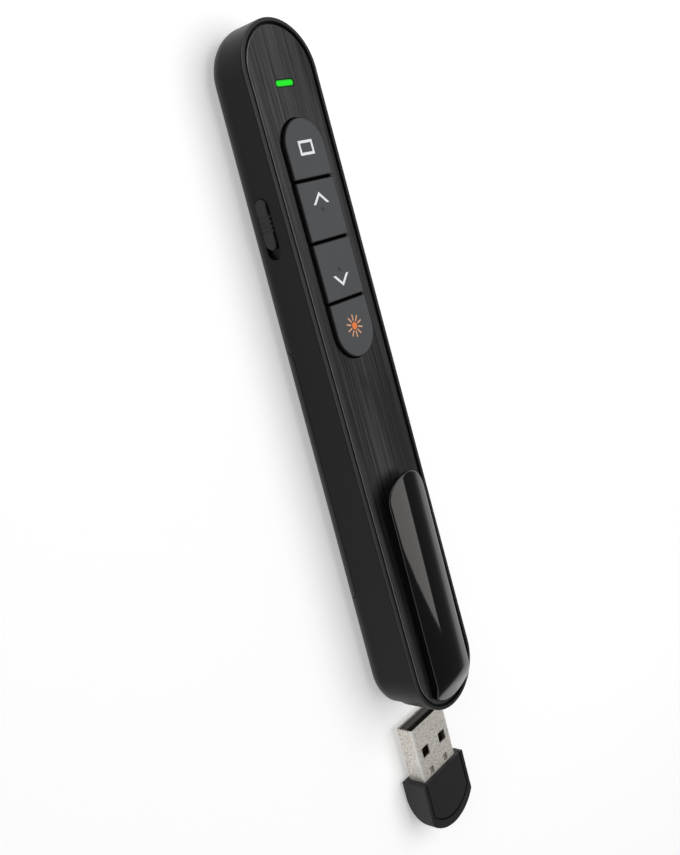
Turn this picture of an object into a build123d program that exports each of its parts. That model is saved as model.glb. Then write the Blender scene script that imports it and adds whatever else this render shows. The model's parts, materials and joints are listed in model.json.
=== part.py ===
from build123d import *

import os
from math import atan2, cos, sin

# A wireless presentation clicker: a slim two-shell casing with four keys, a power slider,
# a volume rocker, a laser, a pocket clip, an AAA cell and the USB receiver that docks in
# its tail. Millimetres. +Z out of the back towards the keys, +Y to the nose, +X to the
# right of the keys. The origin is on the flat back, halfway along the casing.

# ---- casing ------------------------------------------------------------------------------
LENGTH = 144.0  # nose to tail
WIDTH = 20.0
NOSE_HEIGHT = 10.9  # back to key face at the nose
TAIL_HEIGHT = 14.6  # the casing thickens towards the cell and the receiver
REAR_RADIUS = 5.0  # round between the flanks and the back
INNER_BEVEL = 2.5  # the same edge inside
EDGE_BREAK = 0.12  # bevel along the rim's and the plate's edges
WALL = 1.3
BACK_WALL = 1.0
SKIN = 0.7  # flank wall beside the deck, above its ledge
SEAM = 0.4  # shell's upper edge, below the key face
RIM_SIDE = 0.3  # side of the rim that shows above the seam
RIM_LAND = 1.05  # flat of the rim
DECK_BOTTOM = 1.7
PLATE_TOP = 0.1  # plate's surface, below the rim
PLATE_BOTTOM = 0.6
PLATE_GAP = 0.32
FIT = 0.05  # gap between seated parts
SCREW_RADIUS, SCREW_HEAD, SCREW_HEAD_HEIGHT = 0.6, 1.0, 0.7
SCREW_SIDES = 12  # screws, pegs and their holes are twelve-sided

MID_HEIGHT = (NOSE_HEIGHT + TAIL_HEIGHT) / 2
TILT = atan2(TAIL_HEIGHT - NOSE_HEIGHT, LENGTH)  # the key face rises towards the tail
HALF = LENGTH / 2
BASE_LENGTH = LENGTH * cos(TILT)  # the outline's length seen from the back
END_CENTRE = HALF - WIDTH / 2  # centre of each round end

# ---- keys --------------------------------------------------------------------------------
KEYPAD_Y = 29.5
KEY_PITCH = 11.9
KEY_SPLIT = 0.5  # slit between neighbours
KEY_WIDTH = 10.9
KEY_GAP = 0.3
KEY_TOP = 0.9  # above the rim
KEY_FLANGE = 0.3
KEY_FLANGE_TOP = DECK_BOTTOM + 0.05
KEY_BOTTOM = 2.25
KEY_BEVEL = 0.25
KEY_NAMES = ["key_laser", "key_page_down", "key_page_up", "key_screen"]
KEYPAD_LENGTH = len(KEY_NAMES) * KEY_PITCH - KEY_SPLIT
DOME_RADIUS, DOME_SIDES = 2.6, 12
MAT_BASE = 0.3

# ---- main board --------------------------------------------------------------------------
BOARD_TOP = 3.5
BOARD_THICKNESS = 1.0
BOARD_TAIL, BOARD_NOSE = 5.6, 62.6
BOARD_WIDTH = 16.4
BOARD_BOTTOM = BOARD_TOP + BOARD_THICKNESS
BOARD_SCREW_X, BOARD_SCREW_Y = 7.15, (14.0, 53.0)

# ---- indicator ---------------------------------------------------------------------------
LED_Y = 59.8
LENS_LENGTH, LENS_WIDTH = 4.9, 1.3
LENS_GAP = 0.15

# ---- side controls -----------------------------------------------------------------------
SIDE_DEPTH = 5.15  # centre line of both side controls, below the key face
SLOT_Y, SLOT_LENGTH, SLOT_WIDTH, SLOT_FLOOR = 34.4, 12.0, 3.5, 0.8
KNOB_LENGTH, KNOB_WIDTH, KNOB_PROUD = 9.8, 3.1, 0.35
SLIDER_TRAVEL = 2.0
ROCKER_Y, ROCKER_LENGTH, ROCKER_WIDTH, ROCKER_PROUD = 33.7, 15.5, 3.1, 0.5
KNOB_BEVEL = 0.2

KNOB_BASE = SLOT_FLOOR - FIT  # the knob's underside, inside the flank
STEM_LENGTH, STEM_WIDTH, STEM_REACH = 2.6, 1.2, 1.55
LEVER_LENGTH, LEVER_WIDTH = 1.2, 0.8
PIVOT_X, TRUNNION_RADIUS = 7.9, 0.6
LUG_TOPS, LUG_THICKNESS, LUG_REACH = (2.35, 7.25), 0.7, 3.1
ROCKER_FLANGE = (7.9, 8.35)  # inner and outer faces of its retaining flange, in x
ROCKER_POST = 4.6  # where its posts meet the switches, either side of the pivot
SWITCH_HEIGHT = 1.7
PLUNGER_X = 6.5  # where the volume switches' plungers leave their bodies

# ---- laser -------------------------------------------------------------------------------
LASER_Z = 4.15
BARREL_RADIUS, BARREL_BACK, BARREL_FRONT = 2.4, 55.5, 66.5
APERTURE_RADIUS, BEZEL_RADIUS = 1.4, 2.1

# ---- cell --------------------------------------------------------------------------------
CELL_RADIUS, CELL_LENGTH, CELL_NUB = 5.15, 44.5, 1.0
CELL_Z = 6.35
CELL_FRONT = 4.2  # the positive nub's face
CELL_BACK = CELL_FRONT - CELL_LENGTH
TROUGH_RADIUS = 5.35
TROUGH_WALL = 0.7
SPRING_BACK = -43.7
SPRING_WIRE, SPRING_TIP, SPRING_TURNS, SPRING_FLARE = 0.5, 1.5, 3, 24
CONTACT = 0.3  # thickness of the contact plates
CONTACT_WIDTH, CONTACT_LOW, CONTACT_HIGH = 6.4, 3.8, 9.41
STRIP_X, STRIP_LOW, STRIP_HIGH = 5.75, 9.11, 10.4  # return strip, beside the trough
FRONT_WALL = (4.6, 5.4)
BACK_WALL_Y = (-44.8, -44.0)
COVER_FRONT, COVER_BACK = 10.3, -43.5
COVER_HEIGHT = 4.4
COVER_CORNER = 2.5
COVER_GAP = 0.15
TAB_X, TAB_WIDTH, TAB_THICKNESS, TAB_REACH = 4.5, 2.0, 0.8, 1.4
FLANGE_Z, FLANGE_THICKNESS = 4.6, 1.0
CASE_SCREW_X, CASE_SCREW_Y = 7.05, (7.8, -41.2)
CASE_SCREW_LENGTH = 4.2  # its shank

# ---- clip --------------------------------------------------------------------------------
CLIP_WIDTH, CLIP_FRONT, CLIP_BACK = 11.75, -19.1, -69.9
CLIP_CROWN_FRONT, CLIP_CROWN_BACK = 4.0, 3.5  # crown above the rim, at the tip and the root
CLIP_ARCH = 14.4  # radius of the blade's arched cross-section
CLIP_WALL = 1.2
CLIP_ROOT = -64.0
CLIP_BREAK = -65.0  # where the crown breaks and slopes down to the tail
CLIP_TAIL_ARCH = 28.0  # radius of the slope's flatter arch
CLIP_EDGE = 0.5  # height left at the tail edge
CLIP_TIP_ROUND = 5.4
CLIP_SCREW_X, CLIP_SCREW_Y = 2.9, -65.0
CLIP_SCREW_HEAD, CLIP_SCREW_LENGTH = 1.6, 2.1
FOOT_WIDTH, FOOT_LENGTH, FOOT_HEIGHT, PEG_RADIUS = 8.4, 3.2, 1.2, 1.3
PEG_FIT = 0.02
FOOT_GAP, FOOT_HEADROOM = 0.4, 0.3  # between the foot and the hollow root

# ---- receiver ----------------------------------------------------------------------------
DRAWN_OUT = 31.0  # how far it lies out of its bay
CAP_WIDTH, CAP_LENGTH, CAP_HEIGHT = 15.2, 13.4, 6.9
NECK_LENGTH, NECK_STEP = 4.6, 0.8
PLUG_WIDTH, PLUG_HEIGHT, PLUG_LENGTH, PLUG_Z = 12.0, 4.5, 12.6, 1.45
PLUG_WALL, PLUG_ROUND = 0.3, 0.5
PLUG_HIDDEN = 3.0  # length of the plug's shell inside the cap
PLUG_WINDOW, PLUG_WINDOW_X, PLUG_WINDOW_Y = 2.4, 3.1, 6.4
PLUG_HOLE, PLUG_HOLE_LENGTH, PLUG_HOLE_X, PLUG_HOLE_Y = 1.3, 1.7, 2.6, 11.4
TONGUE_HEIGHT, TONGUE_BACK = 1.85, 0.4  # its height, and how far it lies inside the mouth
RECEIVER_BOARD_TOP = PLUG_Z + PLUG_WALL + 1.8
PANEL_WIDTH, PANEL_DEPTH, PANEL_GROOVE, PANEL_BORDER = 12.9, 0.8, 0.3, 2.1
BAY_GAP = 0.12
CAP_FRONT = -HALF + CAP_LENGTH  # the cap's plug side, when docked
NECK_BACK = CAP_FRONT - NECK_LENGTH

FACE = Plane(origin=(0, 0, MID_HEIGHT), x_dir=(1, 0, 0), z_dir=(0, sin(TILT), cos(TILT)))
OUTWARD = Axis(FACE.origin, FACE.z_dir)  # the way the keys come up
SIDE = Plane(origin=FACE.origin, x_dir=FACE.y_dir, z_dir=(1, 0, 0))  # along the key face


def on_face(x, y, depth):
    """A point given by its place on the key face and its depth below it."""
    return FACE.from_local_coords((x, y, -depth))


def section(y, z=0.0):
    """Work plane across the casing at y, centred at height z, facing the tail."""
    return Plane(origin=(0, y, z), x_dir=(1, 0, 0), z_dir=(0, -1, 0))


LEFT_FLANK = Plane(
    origin=on_face(-WIDTH / 2, SLOT_Y, SIDE_DEPTH), x_dir=FACE.y_dir, z_dir=(-1, 0, 0)
)
RIGHT_FLANK = Plane(
    origin=on_face(WIDTH / 2, ROCKER_Y, SIDE_DEPTH), x_dir=FACE.y_dir, z_dir=(1, 0, 0)
)


def casing_form(inset, floor):
    """The casing's form drawn in by inset and standing on a floor: rounded, or bevelled inside."""
    with BuildPart() as form:
        with BuildSketch(Plane.XY.offset(floor)):
            SlotOverall(BASE_LENGTH - 2 * inset, WIDTH - 2 * inset, rotation=90)
        extrude(amount=2 * TAIL_HEIGHT)
        split(bisect_by=FACE, keep=Keep.BOTTOM)
        back_edges = form.faces().sort_by(Axis.Z)[0].edges()
        if inset:
            chamfer(back_edges, INNER_BEVEL)
        else:
            fillet(back_edges, REAR_RADIUS)
    return form.part


def cover_cut(gap):
    """The battery cover's side outline, grown by gap and swept right across the casing."""
    with BuildPart() as cut:
        with BuildSketch(Plane.YZ):
            with BuildLine():
                front, back, top = COVER_FRONT + gap, COVER_BACK - gap, COVER_HEIGHT + gap
                FilletPolyline(
                    (front, -2), (front, top), (back, top), (back, -2), (front, -2),
                    radius=[0.3, COVER_CORNER, COVER_CORNER, 0.3], close=False,
                )
            make_face()
        extrude(amount=WIDTH, both=True)
    return cut.part


OUTER = casing_form(0, 0)
HOLLOW = casing_form(WALL, BACK_WALL)
RIB_LIMIT = casing_form(WALL - 0.3, BACK_WALL - 0.3)

keypad_spot = (0, KEYPAD_Y)
case_screw_spots = [(x, y) for x in (-CASE_SCREW_X, CASE_SCREW_X) for y in CASE_SCREW_Y]
board_screw_spots = [(x, y) for x in (-BOARD_SCREW_X, BOARD_SCREW_X) for y in BOARD_SCREW_Y]
clip_screw_spots = [(x, CLIP_SCREW_Y) for x in (-CLIP_SCREW_X, CLIP_SCREW_X)]


# ---- rear shell --------------------------------------------------------------------------
# Its inner walls first: the cell's trough with its flange and end walls, the receiver bay,
# the laser's cradles and the rocker's bearing lugs, all kept inside the shell's own walls.
with BuildPart() as inner_walls:
    with BuildSketch(section(FRONT_WALL[1], CELL_Z)):
        Circle(TROUGH_RADIUS + TROUGH_WALL)
        Rectangle(
            2 * (TROUGH_RADIUS + TROUGH_WALL), CELL_Z - FLANGE_Z, align=(Align.CENTER, Align.MAX)
        )
    extrude(amount=FRONT_WALL[1] - BACK_WALL_Y[0])
    split(bisect_by=Plane.XY.offset(FLANGE_Z), keep=Keep.TOP)
    flange_back, flange_front = BACK_WALL_Y[0], COVER_FRONT + COVER_GAP + WALL
    with BuildSketch(Plane.XY.offset(FLANGE_Z)):
        with Locations((0, (flange_back + flange_front) / 2)):
            Rectangle(WIDTH, flange_front - flange_back)
    extrude(amount=FLANGE_THICKNESS)
    with BuildSketch(section(flange_front)):
        Rectangle(WIDTH, FLANGE_Z + FLANGE_THICKNESS, align=(Align.CENTER, Align.MIN))
    extrude(amount=WALL)
    for back, front in (FRONT_WALL, BACK_WALL_Y):
        with BuildSketch(section(front)):
            Rectangle(WIDTH, TAIL_HEIGHT, align=(Align.CENTER, Align.MIN))
        extrude(amount=front - back)
    # the cell drops in from the back, through the flange
    with BuildSketch(section(FRONT_WALL[0], CELL_Z)):
        Circle(TROUGH_RADIUS)
        Rectangle(2 * TROUGH_RADIUS, 2 * CELL_Z, align=(Align.CENTER, Align.MAX))
    extrude(amount=FRONT_WALL[0] - BACK_WALL_Y[1], mode=Mode.SUBTRACT)
    # receiver bay: the block round the cap, and the sleeve round the plug
    with BuildSketch(section(CAP_FRONT + 1.0)):
        Rectangle(WIDTH, CAP_HEIGHT + 1.0, align=(Align.CENTER, Align.MIN))
    extrude(amount=CAP_LENGTH + 2)
    with BuildSketch(section(BACK_WALL_Y[0])):
        Rectangle(PLUG_WIDTH + 2.2, PLUG_Z + PLUG_HEIGHT + 1.0, align=(Align.CENTER, Align.MIN))
    extrude(amount=BACK_WALL_Y[0] - CAP_FRONT)
    # cradles under the laser barrel
    for cradle_y in (BARREL_BACK + 2.0, BARREL_FRONT - 1.5):
        with BuildSketch(section(cradle_y)):
            Rectangle(WIDTH, LASER_Z, align=(Align.CENTER, Align.MIN))
        extrude(amount=1.0)
    with BuildSketch(section(BARREL_FRONT, LASER_Z)):
        Circle(BARREL_RADIUS)
    extrude(amount=BARREL_FRONT - BARREL_BACK, mode=Mode.SUBTRACT)
    # lugs above and below the rocker's trunnions
    for lug_top in LUG_TOPS:
        with BuildSketch(FACE.offset(-lug_top)):
            with Locations((WIDTH / 2 - LUG_REACH / 2, ROCKER_Y)):
                Rectangle(LUG_REACH, 3.0)
        extrude(amount=-LUG_THICKNESS)
    with BuildSketch(FACE):
        with Locations((PIVOT_X, ROCKER_Y)):
            RegularPolygon(TRUNNION_RADIUS + FIT, SCREW_SIDES)
    extrude(amount=-TAIL_HEIGHT, mode=Mode.SUBTRACT)
    add(RIB_LIMIT, mode=Mode.INTERSECT)
    split(bisect_by=FACE.offset(-DECK_BOTTOM - FIT), keep=Keep.BOTTOM)

with BuildPart() as rear_shell:
    add(OUTER)
    split(bisect_by=FACE.offset(-SEAM), keep=Keep.BOTTOM)
    add(HOLLOW, mode=Mode.SUBTRACT)
    with BuildSketch(FACE.offset(-DECK_BOTTOM)):
        SlotOverall(LENGTH - 2 * SKIN, WIDTH - 2 * SKIN, rotation=90)
    extrude(amount=DECK_BOTTOM, mode=Mode.SUBTRACT)
    add(inner_walls.part)
    add(cover_cut(COVER_GAP), mode=Mode.SUBTRACT)
    # receiver bay: open at the tail and at the back, stepping in for the neck and the plug
    with BuildSketch(section(NECK_BACK + BAY_GAP)):
        Rectangle(CAP_WIDTH + 2 * BAY_GAP, 2 * (CAP_HEIGHT + BAY_GAP))
    extrude(amount=CAP_LENGTH, mode=Mode.SUBTRACT)
    with BuildSketch(section(CAP_FRONT + BAY_GAP, NECK_STEP - BAY_GAP)):
        Rectangle(
            CAP_WIDTH + 2 * BAY_GAP, CAP_HEIGHT - NECK_STEP + 2 * BAY_GAP,
            align=(Align.CENTER, Align.MIN),
        )
    extrude(amount=NECK_LENGTH + 1, mode=Mode.SUBTRACT)
    with BuildSketch(section(CAP_FRONT + PLUG_LENGTH + 0.6, PLUG_Z + PLUG_HEIGHT / 2)):
        Rectangle(PLUG_WIDTH + 2 * BAY_GAP, PLUG_HEIGHT + 2 * BAY_GAP)
    extrude(amount=PLUG_LENGTH + 1.2, mode=Mode.SUBTRACT)
    # side controls
    with BuildSketch(LEFT_FLANK):
        SlotOverall(SLOT_LENGTH, SLOT_WIDTH)
    extrude(amount=-SLOT_FLOOR, mode=Mode.SUBTRACT)
    with BuildSketch(LEFT_FLANK):
        Rectangle(STEM_LENGTH + SLIDER_TRAVEL + 0.6, STEM_WIDTH + 0.3)
    extrude(amount=-2 * WALL, mode=Mode.SUBTRACT)
    with BuildSketch(RIGHT_FLANK):
        SlotOverall(ROCKER_LENGTH + 0.5, ROCKER_WIDTH + 0.4)
    extrude(amount=-WALL - 0.01, mode=Mode.SUBTRACT)
    # laser aperture through the nose
    with BuildSketch(section(HALF + 1, LASER_Z)):
        Circle(BEZEL_RADIUS + 0.02)
    extrude(amount=HALF + 1 - BARREL_FRONT, mode=Mode.SUBTRACT)
    # holes for the screws that hold the frame
    with BuildSketch(Plane.XY):
        with Locations(case_screw_spots):
            RegularPolygon(SCREW_RADIUS + FIT, SCREW_SIDES)
    extrude(amount=FLANGE_Z + FLANGE_THICKNESS, mode=Mode.SUBTRACT)
    # the front contact's tab and the return strip pass the end walls
    with BuildSketch(section(FRONT_WALL[1] + 0.1, STRIP_LOW - 0.25)):
        Rectangle(2.8, 0.6, align=(Align.CENTER, Align.MIN))
        with Locations((STRIP_X + CONTACT / 2, 0)):
            Rectangle(CONTACT + 0.3, STRIP_HIGH - STRIP_LOW + 0.4, align=(Align.CENTER, Align.MIN))
    extrude(amount=1.0, mode=Mode.SUBTRACT)
    with BuildSketch(section(SPRING_BACK + 0.1, STRIP_LOW - 0.1)):
        Rectangle(
            STRIP_X + CONTACT + 0.2, STRIP_HIGH - STRIP_LOW + 0.2, align=(Align.MIN, Align.MIN)
        )
    extrude(amount=CONTACT + 0.1, mode=Mode.SUBTRACT)
    # windows for the cover's tabs in the cell's back wall
    with BuildSketch(section(BACK_WALL_Y[1] + 0.1, BACK_WALL)):
        with Locations((-TAB_X, 0), (TAB_X, 0)):
            Rectangle(TAB_WIDTH + 0.4, FLANGE_Z - BACK_WALL, align=(Align.CENTER, Align.MIN))
    extrude(amount=1.2, mode=Mode.SUBTRACT)
rear_shell.part.label = "rear_shell"

# ---- top frame and face plate ------------------------------------------------------------
with BuildPart() as top_frame:
    with BuildSketch(FACE.offset(-RIM_SIDE)):
        SlotOverall(LENGTH, WIDTH, rotation=90)
    extrude(amount=RIM_SIDE)
    chamfer(top_frame.faces().sort_by(OUTWARD)[-1].edges(), EDGE_BREAK)
    with BuildSketch(FACE.offset(-DECK_BOTTOM)):
        SlotOverall(LENGTH - 2 * (SKIN + FIT), WIDTH - 2 * (SKIN + FIT), rotation=90)
    extrude(amount=DECK_BOTTOM - RIM_SIDE)
    with BuildSketch(FACE.offset(-PLATE_BOTTOM)):
        SlotOverall(LENGTH - 2 * RIM_LAND, WIDTH - 2 * RIM_LAND, rotation=90)
    extrude(amount=PLATE_BOTTOM, mode=Mode.SUBTRACT)
    # bosses down to the board, and down to the shell's flange
    with BuildSketch(FACE.offset(-DECK_BOTTOM)):
        with Locations(board_screw_spots):
            Rectangle(2 * SCREW_HEAD, 2 * SCREW_HEAD)
    extrude(amount=-(BOARD_TOP - DECK_BOTTOM))
    with BuildSketch(Plane.XY.offset(FLANGE_Z + FLANGE_THICKNESS)):
        with Locations(case_screw_spots):
            Rectangle(2 * (SCREW_HEAD - FIT), 2 * (SCREW_HEAD - FIT))
    extrude(until=Until.NEXT)
    # keypad, lens and clip foot openings
    with BuildSketch(FACE.offset(-DECK_BOTTOM)):
        with Locations(keypad_spot):
            SlotOverall(KEYPAD_LENGTH + 2 * KEY_GAP, KEY_WIDTH + 2 * KEY_GAP, rotation=90)
        with Locations((0, LED_Y)):
            SlotOverall(LENS_LENGTH + 0.04, LENS_WIDTH + 0.04)
        with Locations(clip_screw_spots):
            RegularPolygon(PEG_RADIUS + PEG_FIT, SCREW_SIDES)
    extrude(amount=DECK_BOTTOM, mode=Mode.SUBTRACT)
    # the cell lies in a groove under the deck
    with BuildSketch(section(FRONT_WALL[0], CELL_Z)):
        Circle(TROUGH_RADIUS)
    extrude(amount=FRONT_WALL[0] - BACK_WALL_Y[1], mode=Mode.SUBTRACT)
    # screw holes
    with BuildSketch(FACE.offset(-BOARD_TOP)):
        with Locations(board_screw_spots):
            RegularPolygon(SCREW_RADIUS, SCREW_SIDES)
    extrude(amount=BOARD_TOP - DECK_BOTTOM, mode=Mode.SUBTRACT)
    with BuildSketch(Plane.XY.offset(FLANGE_Z)):
        with Locations(case_screw_spots):
            RegularPolygon(SCREW_RADIUS, SCREW_SIDES)
    extrude(amount=CASE_SCREW_LENGTH + 0.4, mode=Mode.SUBTRACT)
top_frame.part.label = "top_frame"

with BuildPart() as face_plate:
    with BuildSketch(FACE.offset(-PLATE_BOTTOM)):
        SlotOverall(
            LENGTH - 2 * (RIM_LAND + PLATE_GAP), WIDTH - 2 * (RIM_LAND + PLATE_GAP), rotation=90
        )
        with Locations(keypad_spot):
            SlotOverall(
                KEYPAD_LENGTH + 2 * KEY_GAP, KEY_WIDTH + 2 * KEY_GAP, rotation=90,
                mode=Mode.SUBTRACT,
            )
        with Locations((0, LED_Y)):
            SlotOverall(LENS_LENGTH + 2 * LENS_GAP, LENS_WIDTH + 2 * LENS_GAP, mode=Mode.SUBTRACT)
        with Locations(clip_screw_spots):
            RegularPolygon(PEG_RADIUS + PEG_FIT, SCREW_SIDES, mode=Mode.SUBTRACT)
    extrude(amount=PLATE_BOTTOM - PLATE_TOP)
    chamfer(face_plate.faces().sort_by(OUTWARD)[-1].outer_wire().edges(), EDGE_BREAK)
face_plate.part.label = "face_plate"

with BuildPart() as indicator_lens:
    with BuildSketch(FACE.offset(-DECK_BOTTOM - 0.9)):
        with Locations((0, LED_Y)):
            SlotOverall(LENS_LENGTH, LENS_WIDTH)
    extrude(amount=DECK_BOTTOM + 0.9 - PLATE_TOP - 0.05)
indicator_lens.part.label = "indicator_lens"

with BuildPart() as status_led:
    with BuildSketch(FACE.offset(-BOARD_TOP)):
        with Locations((0, LED_Y)):
            Rectangle(2.0, 1.25)
    extrude(amount=0.8)
    chamfer(status_led.faces().sort_by(OUTWARD)[-1].edges(), 0.2)
status_led.part.label = "status_led"

# ---- keys and dome mat -------------------------------------------------------------------
keys = {}
for row, name in enumerate(KEY_NAMES):
    key_y = KEYPAD_Y + (row - (len(KEY_NAMES) - 1) / 2) * KEY_PITCH
    with BuildPart() as key:
        with BuildSketch(FACE.offset(-KEY_BOTTOM)):
            with Locations(keypad_spot):
                SlotOverall(KEYPAD_LENGTH, KEY_WIDTH, rotation=90)
            with Locations((0, key_y)):
                Rectangle(KEY_WIDTH, KEY_PITCH - KEY_SPLIT, mode=Mode.INTERSECT)
        extrude(amount=KEY_BOTTOM + KEY_TOP)
        chamfer(key.faces().sort_by(OUTWARD)[-1].edges(), KEY_BEVEL)
        # flanges along both sides hold it under the deck
        with BuildSketch(FACE.offset(-KEY_BOTTOM)):
            with Locations(keypad_spot):
                SlotOverall(KEYPAD_LENGTH, KEY_WIDTH + 2 * (KEY_GAP + KEY_FLANGE), rotation=90)
            with Locations((0, key_y)):
                Rectangle(WIDTH, KEY_PITCH - KEY_SPLIT, mode=Mode.INTERSECT)
        extrude(amount=KEY_BOTTOM - KEY_FLANGE_TOP)
    key.part.label = name
    keys[name] = key.part

with BuildPart() as dome_mat:
    with BuildSketch(FACE.offset(-BOARD_TOP)):
        with Locations(keypad_spot):
            Rectangle(KEY_WIDTH, KEYPAD_LENGTH - 3.4)
    extrude(amount=MAT_BASE)
    for row in range(len(KEY_NAMES)):
        dome_y = KEYPAD_Y + (row - (len(KEY_NAMES) - 1) / 2) * KEY_PITCH
        with BuildSketch(FACE.offset(-BOARD_TOP + MAT_BASE)):
            with Locations((0, dome_y)):
                RegularPolygon(DOME_RADIUS, DOME_SIDES)
        extrude(amount=BOARD_TOP - MAT_BASE - KEY_BOTTOM, taper=35)
dome_mat.part.label = "dome_mat"

# ---- main board and what it carries ------------------------------------------------------
with BuildPart() as main_board:
    with BuildSketch(FACE.offset(-BOARD_BOTTOM)):
        with Locations((0, (BOARD_TAIL + BOARD_NOSE) / 2)):
            Rectangle(BOARD_WIDTH, BOARD_NOSE - BOARD_TAIL)
        with Locations(board_screw_spots):
            RegularPolygon(SCREW_RADIUS + 0.1, SCREW_SIDES, mode=Mode.SUBTRACT)
        # clear of the frame's bosses and of the rocker
        with Locations((-BOARD_WIDTH / 2, BOARD_TAIL), (BOARD_WIDTH / 2, BOARD_TAIL)):
            Rectangle(4.3, 7.2, mode=Mode.SUBTRACT)
        with Locations((BOARD_WIDTH / 2, ROCKER_Y)):
            Rectangle(3.4, ROCKER_LENGTH + 3.0, mode=Mode.SUBTRACT)
    extrude(amount=BOARD_THICKNESS)
main_board.part.label = "main_board"

with BuildPart() as controller_chip:
    with BuildSketch(FACE.offset(-BOARD_BOTTOM)):
        with Locations((0, 22.0)):
            Rectangle(5.0, 5.0)
    extrude(amount=-0.9)
    chamfer(controller_chip.faces().sort_by(OUTWARD)[0].edges(), 0.1)
controller_chip.part.label = "controller_chip"

with BuildPart() as crystal:
    with BuildSketch(FACE.offset(-BOARD_BOTTOM)):
        with Locations((0, 16.5)):
            RectangleRounded(3.2, 2.5, 0.3)
    extrude(amount=-0.8)
crystal.part.label = "crystal"

with BuildPart() as chip_components:
    with BuildSketch(FACE.offset(-BOARD_BOTTOM)):
        with Locations((0, 27.5)):
            with GridLocations(2.2, 1.6, 3, 2):
                Rectangle(1.0, 0.5)
        with Locations((0, 47.0)):
            with GridLocations(2.6, 2.0, 3, 2):
                Rectangle(1.6, 0.8)
    extrude(amount=-0.5)
chip_components.part.label = "chip_components"

knob_y = SLOT_Y + (SLOT_LENGTH - KNOB_LENGTH) / 2 - 0.15
lever_low, lever_high = knob_y - SLIDER_TRAVEL - 0.8, knob_y + 0.8
with BuildPart() as power_switch_body:
    with BuildSketch(FACE.offset(-BOARD_BOTTOM)):
        with Locations((-6.6, (lever_low + lever_high) / 2)):
            Rectangle(3.2, 7.4)
    extrude(amount=-SWITCH_HEIGHT)
    with BuildSketch(FACE.offset(-SIDE_DEPTH - LEVER_WIDTH / 2 - FIT)):
        with Locations((-8.2, (lever_low + lever_high) / 2)):
            Rectangle(2.6, lever_high - lever_low)
    extrude(amount=LEVER_WIDTH + 2 * FIT, mode=Mode.SUBTRACT)
power_switch_body.part.label = "power_switch_body"

with BuildPart() as power_switch_lever:
    with BuildSketch(FACE.offset(-SIDE_DEPTH - LEVER_WIDTH / 2)):
        with Locations((-8.1, knob_y)):
            Rectangle(2.3, LEVER_LENGTH)
    extrude(amount=LEVER_WIDTH)
power_switch_lever.part.label = "power_switch_lever"

with BuildPart() as power_slider:
    knob_shift = knob_y - SLOT_Y
    with BuildSketch(LEFT_FLANK.offset(-KNOB_BASE)):
        with Locations((knob_shift, 0)):
            SlotOverall(KNOB_LENGTH, KNOB_WIDTH)
    extrude(amount=KNOB_BASE + KNOB_PROUD)
    chamfer(power_slider.faces().sort_by(Axis.X)[0].edges(), KNOB_BEVEL)
    # finger grip: a shallow waist with ridges across it
    with BuildSketch(LEFT_FLANK.offset(KNOB_PROUD)):
        with Locations((knob_shift, 0)):
            with GridLocations(0.9, 1, 4, 1):
                Rectangle(0.45, KNOB_WIDTH)
    extrude(amount=-0.3, mode=Mode.SUBTRACT)
    with BuildSketch(LEFT_FLANK.offset(-KNOB_BASE)):
        with Locations((knob_shift, 0)):
            Rectangle(STEM_LENGTH, STEM_WIDTH)
    extrude(amount=-(STEM_REACH - KNOB_BASE))
    with BuildSketch(LEFT_FLANK.offset(-STEM_REACH)):
        with Locations((knob_shift, 0)):
            Rectangle(LEVER_LENGTH + 2 * FIT, LEVER_WIDTH + 2 * FIT)
    extrude(amount=1.0, mode=Mode.SUBTRACT)
power_slider.part.label = "power_slider"

with BuildPart() as volume_rocker:
    with BuildSketch(RIGHT_FLANK.offset(ROCKER_FLANGE[1] - WIDTH / 2)):
        SlotOverall(ROCKER_LENGTH, ROCKER_WIDTH)
    extrude(amount=WIDTH / 2 - ROCKER_FLANGE[1] + ROCKER_PROUD)
    chamfer(volume_rocker.faces().sort_by(Axis.X)[-1].edges(), KNOB_BEVEL)
    with BuildSketch(RIGHT_FLANK.offset(ROCKER_FLANGE[0] - WIDTH / 2)):
        SlotOverall(ROCKER_LENGTH + 1.1, ROCKER_WIDTH + 0.8)
    extrude(amount=ROCKER_FLANGE[1] - ROCKER_FLANGE[0])
    with BuildSketch(RIGHT_FLANK.offset(ROCKER_FLANGE[0] - WIDTH / 2)):
        Rectangle(2.0, ROCKER_WIDTH + 0.8)
        with Locations((-ROCKER_POST, 0), (ROCKER_POST, 0)):
            Rectangle(1.4, 1.2)
    extrude(amount=-0.65)
    with BuildSketch(FACE.offset(-LUG_TOPS[1] - LUG_THICKNESS)):
        with Locations((PIVOT_X, ROCKER_Y)):
            Circle(TRUNNION_RADIUS)
    extrude(amount=LUG_TOPS[1] + LUG_THICKNESS - LUG_TOPS[0])
volume_rocker.part.label = "volume_rocker"

with BuildPart() as volume_switches:
    with BuildSketch(FACE.offset(-BOARD_BOTTOM)):
        with Locations((5.45, ROCKER_Y - ROCKER_POST), (5.45, ROCKER_Y + ROCKER_POST)):
            Rectangle(2.1, 4.4)
    extrude(amount=-SWITCH_HEIGHT)
    with BuildSketch(RIGHT_FLANK.offset(PLUNGER_X - WIDTH / 2)):
        with Locations((-ROCKER_POST, 0), (ROCKER_POST, 0)):
            Rectangle(1.6, 0.8)
    extrude(amount=0.5)
volume_switches.part.label = "volume_switches"

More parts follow.
